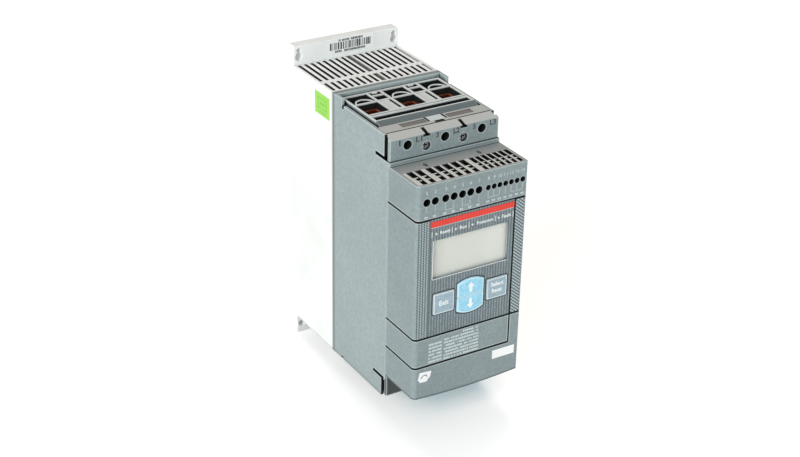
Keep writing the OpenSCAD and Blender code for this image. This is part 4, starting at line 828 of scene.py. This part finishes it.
# Knurl on the strips beside the fascia: square dots on the left, diamonds on the right

STRIP_FOOT, STRIP_TOP = JOINTS[1] + 1.2 * MM, JOINTS[0] - 1.2 * MM
CORNER_R = 3.5 * MM
CORNER_X = CORNER_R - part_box("display_housing")[1].x
DOT_SHARE, DIAMOND_SHARE = 0.36, 0.38
DOTS_LEFT, DOTS_RIGHT = -43.4 * MM, FASCIA_LOW.x - 0.9 * MM
DIAMONDS_LEFT, DIAMONDS_RIGHT = STRIP_EDGE + 0.8 * MM, 43.2 * MM

# Pitches counted from the middle, more than enough to cover the strips
STEPS = np.arange(-60, 61)


def inside_strip(centres, low, high):
    """The centres that lie between two X limits, and between the joints."""
    x, z = centres.T
    return centres[(x > low) & (x < high) & (z > STRIP_FOOT) & (z < STRIP_TOP)]


def dot_knurl(low, high):
    """Dots on the crests of the two waves; near the rounded corner their depth follows it."""
    across, up = np.meshgrid(STEPS * DOT_X, STEPS * DOT_Z)
    centres = inside_strip(np.stack([across.ravel(), up.ravel()], 1), low, high)
    past = np.maximum(CORNER_X - centres[:, 0], 0.0)
    depths = FACE - CORNER_R + np.sqrt(CORNER_R ** 2 - past ** 2)
    corners = (2 * np.array(SQUARE) - 1) * [DOT_SHARE * DOT_X, DOT_SHARE * DOT_Z]
    return studs(centres, corners, depths)


def diamond_knurl(low, high):
    """Diamonds where two slanting crests cross: x + RISE z = k DIAMOND, x - FALL z = m DIAMOND."""
    def place(k, m):
        z = (k - m) * DIAMOND / (RISE + FALL)
        return np.stack([k * DIAMOND - RISE * z, z], -1)
    k, m = np.meshgrid(STEPS, STEPS)
    centres = inside_strip(place(k.ravel(), m.ravel()), low, high)
    corners = DIAMOND_SHARE * place(np.array([-1, 1, 1, -1]), np.array([1, 1, -1, -1]))
    return studs(centres, corners, np.full(len(centres), FACE))


lay("left_knurl", dot_knurl(DOTS_LEFT, DOTS_RIGHT), "strip_plastic")
lay("right_knurl", diamond_knurl(DIAMONDS_LEFT, DIAMONDS_RIGHT), "strip_plastic")

# Print on the control terminal cover: numbers over the holes, and a line diagram under them

NUMBER_FOOT, NUMBER_TOP = 74.2, 76.6
NARROW, ONE_DIGIT, TWO_DIGITS = 0.35, 0.8, 1.35


def number_row(i, x):
    """Box of a terminal number, centred over its hole: a 1 is narrow, two digits are wide."""
    half = NARROW if i == 1 else (ONE_DIGIT if i < 10 else TWO_DIGITS)
    return str(i), x - half, x + half, NUMBER_FOOT, NUMBER_TOP


def contact(x0, x1, top, foot, rise=1.2, fall=0.6, lean=0.9):
    """Segments of a switch contact: legs from two poles, one of them bent, joined at the foot."""
    high, low = (top + foot) / 2 + rise, (top + foot) / 2 - fall
    return [[x0, top, x0, foot], [x1, top, x1, high], [x1, high, x1 - lean, low],
            [x1, low, x1, foot], [x0, foot, x1, foot]]


number_rows = [number_row(i, x) for i, x in enumerate([*LARGE_X, *SMALL_X], 1)]
lay("terminal_numbers", letters(number_rows, FACE), "ink_faint")
POLE_FOOT, SUPPLY_FOOT, LINE_FOOT = 64.9, 61.2, 59.4
INPUT_TOP, INPUT_FOOT, DIAGRAM_LINE = 65.6, 60.6, 0.32 * MM
diagram = [[x, POLE_FOOT, x, SUPPLY_FOOT] for x in LARGE_X[:2]]
for i in (2, 4):
    diagram += contact(LARGE_X[i], LARGE_X[i + 1], POLE_FOOT, LINE_FOOT)
diagram += [[LARGE_X[6], POLE_FOOT, LARGE_X[6], LINE_FOOT]]
diagram += [[x, INPUT_TOP, x, INPUT_FOOT] for x in SMALL_X]
diagram += [[SMALL_X[i], INPUT_FOOT, SMALL_X[i + 2], INPUT_FOOT] for i in (0, 4)]
lay("terminal_diagram", strokes(diagram, DIAGRAM_LINE, FACE), "ink_faint")
MARK_FOOT, MARK_TOP = 56.3, 57.9
marks = [[x - w, x - w + 1.0, MARK_FOOT, MARK_TOP] for x in LARGE_X for w in (1.6, 0.2)]
marks += [[x + left, x + right, MARK_FOOT + 0.7, MARK_TOP + 0.5]
          for left, right in ((-1.3, -0.2), (0.2, 1.2)) for x in SMALL_X]
lay("terminal_marks", fields(marks, FACE), "ink_faint")

# Marks on the upper shroud: pole numbers and line names, dark on grey

PHASES_X, PHASE_TOP, POLE_NUMBER_FOOT, LINE_NAME_FOOT = (-30.5, 0.0, 30.5), 99.5, 95.4, 95.5
phase_marks = []
for pole, mid in enumerate(PHASES_X):
    narrow = 0.4 if pole == 0 else 0.0
    left, right = mid - 7.4 + narrow, mid - 5.4 - narrow
    phase_marks.append((str(2 * pole + 1), left, right, POLE_NUMBER_FOOT, PHASE_TOP))
    phase_marks.append((f"L{pole + 1}", mid + 6.7, mid + 11.7, LINE_NAME_FOOT, PHASE_TOP))
lay("phase_marks", letters(phase_marks, SHROUD_FACE, 0.025), "ink_grey")

# Fascia print: words and dividers beside the status lights, the window's painted highlight, the
# stripe's border

WORD_FOOT, WORD_TOP, TAIL_FOOT = 41.4, 44.0, 40.9
status_words = [
    ("Ready", -25.8, -17.4, TAIL_FOOT, WORD_TOP), ("Run", -9.9, -4.2, WORD_FOOT, WORD_TOP),
    ("Protection", 4.2, 17.6, WORD_FOOT, WORD_TOP), ("Fault", 25.2, 32.8, WORD_FOOT, WORD_TOP)]
lay("status_words", letters(status_words, FASCIA, 0.015), "ink_white")
dividers = [[x - 0.2, x + 0.2, 40.4, 44.8] for x in (-32.4, -16.0, -2.2, 19.6, 34.6)]
lay("status_dividers", fields(dividers, FASCIA), "ink_white")
WINDOW_SIDE, WINDOW_FOOT, WINDOW_TOP = 31.1, 7.3, 37.4
# pale lines along the window's left and lower edges: painted highlights
window_highlights = [[-WINDOW_SIDE - 0.45, -WINDOW_SIDE, WINDOW_FOOT - 0.4, WINDOW_TOP],
                [-WINDOW_SIDE, WINDOW_SIDE, WINDOW_FOOT - 0.4, WINDOW_FOOT]]
lay("window_edge_highlight", fields(window_highlights, FASCIA), "ink_white")
lay("stripe_border", fields([[-33.4, 34.6, 47.4, 47.75]], FASCIA), "ink_faint")

# Key symbols and borders: each rides on its own key; the borders are painted highlights. The dark
# surrounds lie on the fascia, painted shade round the keys

KEYS_X, KEYS_Z, SQUARE_KEY_X = 0.9, -13.0, 22.4

# Outer and inner outline of each band. Square keys: half width, half height, corner radius; arrow
# keys: lift of the foot, half width, height of the sides, rise of the arc
SQUARE_HIGHLIGHT = (8.15, 7.75, 0.7), (7.6, 7.2, 0.4)
SQUARE_SURROUND = (9.65, 9.25, 2.0), (9.1, 8.7, 1.6)
ARROW_HIGHLIGHT = (0.25, 10.55, 10.2, 2.9), (0.55, 10.05, 9.5, 2.75)
ARROW_SURROUND = (0.0, 12.0, 11.9, 2.95), (0.0, 11.5, 11.35, 2.9)

exit_words = [("Exit", -25.3, -17.7, -14.9, -11.0)]
select_words = [("Select", 17.9, 28.7, -11.4, -8.0), ("Reset", 18.9, 27.7, -16.6, -13.2)]
lay("exit_word", letters(exit_words, KEY, 0.02), "ink_white", "exit_key")
lay("select_word", letters(select_words, KEY, 0.02), "ink_white", "select_key")


def arrow(mid_x, foot, tip, stem=1.15, head=2.9, head_l=3.6):
    """Outline of a block arrow from foot to tip, with half widths of its stem and head."""
    way = math.copysign(1.0, tip - foot)
    neck = tip - way * head_l
    points = [[mid_x - stem, foot], [mid_x + stem, foot], [mid_x + stem, neck],
              [mid_x + head, neck], [mid_x, tip], [mid_x - head, neck], [mid_x - stem, neck]]
    return points if way > 0 else points[::-1]


def rounded_outline(mid_x, mid_z, half_w, half_h, radius):
    """Outline of a rectangle with round corners: corner centre + radius * (cos, sin)."""
    turn = np.radians(np.arange(0, 360, 10.0) + 5.0)
    across, up = np.cos(turn), np.sin(turn)
    x = mid_x + np.sign(across) * (half_w - radius) + radius * across
    z = mid_z + np.sign(up) * (half_h - radius) + radius * up
    return np.stack([x, z], 1)


def arrow_key_outline(up, lift, half_w, side_h, rise):
    """Outline of an arrow key: straight foot and sides, and an end along a circle's arc.

    The foot lies a lift away from the middle of the keys, towards the key's own end."""
    x = np.linspace(half_w, -half_w, 33)
    radius = (half_w ** 2 + rise ** 2) / (2 * rise)
    z = side_h + rise - radius + np.sqrt(radius ** 2 - x ** 2)
    plan = np.concatenate([[[-half_w, 0.0], [half_w, 0.0]], np.stack([x, z], 1)])
    plan = plan * [1.0, up] + [KEYS_X, KEYS_Z + up * lift]
    return plan if up > 0 else plan[::-1]


for name, side in (("exit_key", -1), ("select_key", 1)):
    middle = KEYS_X + side * SQUARE_KEY_X, KEYS_Z
    border = [rounded_outline(*middle, *sizes) for sizes in SQUARE_HIGHLIGHT]
    surround = [rounded_outline(*middle, *sizes) for sizes in SQUARE_SURROUND]
    # pale band on the key's edge: a painted highlight
    lay(name + "_border", band(*border, KEY), "key_border", name)
    # dark surround on the fascia: painted shade round the key
    lay(name + "_surround", band(*surround, FASCIA), "ink_dark")
for name, up in (("up_key", 1), ("down_key", -1)):
    border = [arrow_key_outline(up, *sizes) for sizes in ARROW_HIGHLIGHT]
    surround = [arrow_key_outline(up, *sizes) for sizes in ARROW_SURROUND]
    # pale band on the key's edge: a painted highlight
    lay(name + "_border", band(*border, KEY), "arrow_border", name)
    # dark surround on the fascia: painted shade round the key
    lay(name + "_surround", band(*surround, FASCIA), "ink_dark")
lay("up_arrow", prism(arrow(KEYS_X, -10.4, -2.4), KEY), "ink_white", "up_key")
lay("down_arrow", prism(arrow(KEYS_X, -15.6, -23.6), KEY), "ink_white", "down_key")

# Rating field on the label cover: lines of plain dashes where the small print is

print_seed = np.random.default_rng(7)
DASHES, DASH_GAP, SHORTEST, SKIPPED = 70, 0.32, 0.2, 0.1


def dash_lines(x0, x1, tops, height):
    """Rows of uneven dashes: ends are a running sum of seeded widths, cut at the field's edge."""
    rows = []
    for top in tops:
        widths = print_seed.uniform(0.6, 1.6, DASHES)
        cuts = x0 + np.cumsum(widths)
        starts, ends = cuts - widths, np.minimum(cuts - DASH_GAP, x1)
        keep = (starts < x1) & (ends - starts > SHORTEST) & (print_seed.random(DASHES) > SKIPPED)
        levels = np.full((DASHES, 2), [top - height, top])
        rows += np.column_stack([starts, ends, levels])[keep].tolist()
    return rows


small_print = dash_lines(-32.6, -21.6, (-44.4, -47.2, -50.0, -52.8, -55.6, -58.4), 1.5)
small_print += dash_lines(-19.8, 9.6, (-43.4, -46.0, -48.6, -51.2, -53.8, -56.4, -59.0), 1.4)
small_print += dash_lines(-4.0, 9.0, (-40.8,), 1.3)
lay("rating_print", fields(small_print, FACE), "ink_soft")

# Base cover: blank writing label, and a plain sheet symbol with its fold

sheet = [[-39.6, -74.4], [-33.6, -74.7], [-32.4, -72.7], [-30.9, -71.7], [-29.8, -66.8],
         [-39.6, -66.1], [-41.3, -72.2], [-39.9, -72.8]]
fold = [[-38.6, -70.9, -36.3, -69.1], [-36.3, -69.1, -34.3, -69.1], [-34.3, -69.1, -33.4, -70.5]]
lay("writing_label", fields([[22.4, 41.6, -73.0, -66.0]], FACE, 0.08 * MM), "sticker_white")
lay("sheet_symbol", prism(sheet, FACE), "ink_white")
lay("sheet_fold", strokes(fold, 0.6 * MM, FACE + PRINT), "ink_dark")

# Black blocks in the notches of the main housing's side walls: painted shade in the notches

NOTCH_SHADE_IN, NOTCH_SHADE_OUT, NOTCH_SHADE_BACK, NOTCH_SHADE_FRONT = 43.2, 44.7, 82.1, 84.9
notch_shades = np.array([[[x, -NOTCH_SHADE_FRONT, foot], [x + NOTCH_SHADE_OUT - NOTCH_SHADE_IN, -NOTCH_SHADE_BACK, top]]
                  for foot, top in ((-107.3, -105.0), (100.2, 102.3))
                  for x in (-NOTCH_SHADE_OUT, NOTCH_SHADE_IN)]) * MM
lay("notch_shade_blocks", boxes(notch_shades[:, 0], notch_shades[:, 1]), "strip_black")

# Stickers on the rear housing: bars between two lines of dashes, and a green square

STICKER, SIDE_STICKER, SIDE_PRINT = 0.06 * MM, 0.05 * MM, 0.03 * MM
BARS, BAR_FOOT, BAR_TOP, BARS_LEFT, BARS_RIGHT = 30, 113.5, 119.2, -15.4, 20.6
lay("flange_sticker", fields([[-16.6, 22.8, 110.4, 121.8]], FLANGE_FACE, STICKER), "sticker_pale")
bar_seed = np.random.default_rng(3)
bar_widths = bar_seed.choice([0.45, 0.9, 1.35], BARS)
bar_gaps = bar_seed.choice([0.45, 0.9], BARS)
bar_starts = BARS_LEFT + np.cumsum(bar_widths + bar_gaps) - bar_widths
bar_levels = np.full((BARS, 2), [BAR_FOOT, BAR_TOP])
bars = np.column_stack([bar_starts, bar_starts + bar_widths, bar_levels])[bar_starts < BARS_RIGHT]
sticker_dashes = dash_lines(-7.0, 14.0, (121.4,), 1.7) + dash_lines(-10.0, 16.0, (112.9,), 1.7)
bars_and_dashes = np.concatenate([bars, sticker_dashes])
lay("flange_bars", fields(bars_and_dashes, FLANGE_FACE + STICKER), "ink_dark")

green_square = [[42.0, 64.0, 83.4, 100.6]]
frame_lines = [[46.5, 59.5, 96.2, 96.9], [46.5, 59.5, 88.2, 88.9], [46.5, 47.4, 88.2, 96.9],
               [58.6, 59.5, 88.2, 96.9], [49.5, 56.5, 91.4, 93.6], [48.0, 58.0, 85.4, 86.3]]
lay("green_sticker", side_fields(green_square, REAR_LOW.x, SIDE_STICKER), "sticker_green")
lay("green_sticker_print", side_fields(frame_lines, REAR_LOW.x - SIDE_STICKER, SIDE_PRINT),
    "sticker_green_dark")


# Stage: pale floor, white surround, soft light, camera

WHITE, SHADE_BLUE = (1, 1, 1, 1), (0.26, 0.46, 0.52, 1)
FLOOR_GLOW, WORLD_LEVEL, FLOOR_HALF, FLOOR_DROP = 0.40, 0.36, 6.0, 0.4 * MM
# Place and soft edges of the painted shadow under the covers, in X and in depth
PATCH_X, PATCH_SIDE = 18 * MM, (20 * MM, 50 * MM)
PATCH_DEPTH, PATCH_AHEAD = 138 * MM, (8 * MM, 34 * MM)


def set_stage():
    """Pale floor that keeps the shadow; to the camera it also glows a little and reads as white.

    The glow is weaker and bluish in a soft patch under the overhanging covers: a painted shadow."""
    finish = Finish("pale_floor")
    x, depth, _ = finish.axes()
    # painted shadow under the overhanging covers
    shade = 1.0 - abs(x - PATCH_X).clip(*PATCH_SIDE)
    shade = shade * (1.0 - abs(depth - PATCH_DEPTH).clip(*PATCH_AHEAD))
    glow_colour = finish.mix(shade, WHITE, SHADE_BLUE)
    colour = finish.mix(finish.noise(0.4), (0.88, 0.88, 0.88, 1), (0.90, 0.90, 0.90, 1))
    matte = finish.add("ShaderNodeBsdfDiffuse", {"Color": colour})
    glow = finish.add("ShaderNodeEmission", {"Color": glow_colour, "Strength": FLOOR_GLOW})
    both = finish.add("ShaderNodeAddShader", {0: matte, 1: glow})
    shown = finish.add("ShaderNodeMixShader", {0: finish.seen(), 1: matte, 2: both})
    finish.add("ShaderNodeOutputMaterial", {"Surface": shown})
    level = cad_box[0].z - FLOOR_DROP
    corners = [((2 * x - 1) * FLOOR_HALF, (2 * y - 1) * FLOOR_HALF, level) for x, y in SQUARE]
    floor = new_piece("floor", corners, [(0, 1, 2, 3)], finish.owner)


def set_world():
    """White surround: full white to the camera and through clear plastic, softer as light."""
    world = bpy.data.worlds.new("surround")
    bpy.context.scene.world = world
    finish = Finish("surround", world)
    low, high = (finish.add("ShaderNodeBackground", {"Color": WHITE, "Strength": strength})
                 for strength in (WORLD_LEVEL, 1.0))
    shown = finish.add("ShaderNodeMixShader", {0: finish.seen(), 1: low, 2: high})
    finish.add("ShaderNodeOutputWorld", {"Surface": shown})


def soft_sun(name, towards, strength, spread, colour):
    """Distant soft lamp: towards points from the object to it; spread is its angle in degrees."""
    lamp = bpy.data.lights.new(name, "SUN")
    lamp.energy = strength
    lamp.color = colour
    lamp.angle = math.radians(spread)
    holder = bpy.data.objects.new(name, lamp)
    holder.rotation_mode = "QUATERNION"
    holder.rotation_quaternion = Vector(towards).to_track_quat("Z", "Y")
    collection.objects.link(holder)


def set_camera():
    """Camera from bearing, height angle, roll and distance about a target.

    The columns of its matrix are right, up and back."""
    bearing, height, roll = (math.radians(a) for a in (-31.45, 27.10, 1.10))
    target = Vector((0.67, -90.0, -3.67)) * MM
    distance = 1210.3 * MM
    level = math.cos(height)
    back = Vector((math.sin(bearing) * level, -math.cos(bearing) * level, math.sin(height)))
    right = Vector((math.cos(bearing), math.sin(bearing), 0.0))
    up = back.cross(right)
    turned_right = right * math.cos(roll) + up * math.sin(roll)
    turned_up = up * math.cos(roll) - right * math.sin(roll)
    turn = Matrix((turned_right, turned_up, back)).transposed().to_4x4()
    camera = bpy.data.objects.new("camera", bpy.data.cameras.new("camera"))
    camera.data.sensor_width = 36.0
    camera.data.lens = 72.58
    camera.data.clip_start = 0.01
    camera.matrix_world = Matrix.Translation(target + back * distance) @ turn
    collection.objects.link(camera)
    bpy.context.scene.camera = camera


set_stage()
set_world()
soft_sun("key_light", (-0.85, -0.45, 0.30), 2.6, 40, (0.97, 1.0, 1.0))
soft_sun("front_light", (0.25, -0.9, 0.40), 0.5, 50, (0.88, 1.0, 1.0))
soft_sun("far_light", (0.15, 0.36, 0.92), 0.9, 30, (1.0, 0.90, 0.80))
set_camera()
bpy.context.scene.view_settings.view_transform = "Standard"
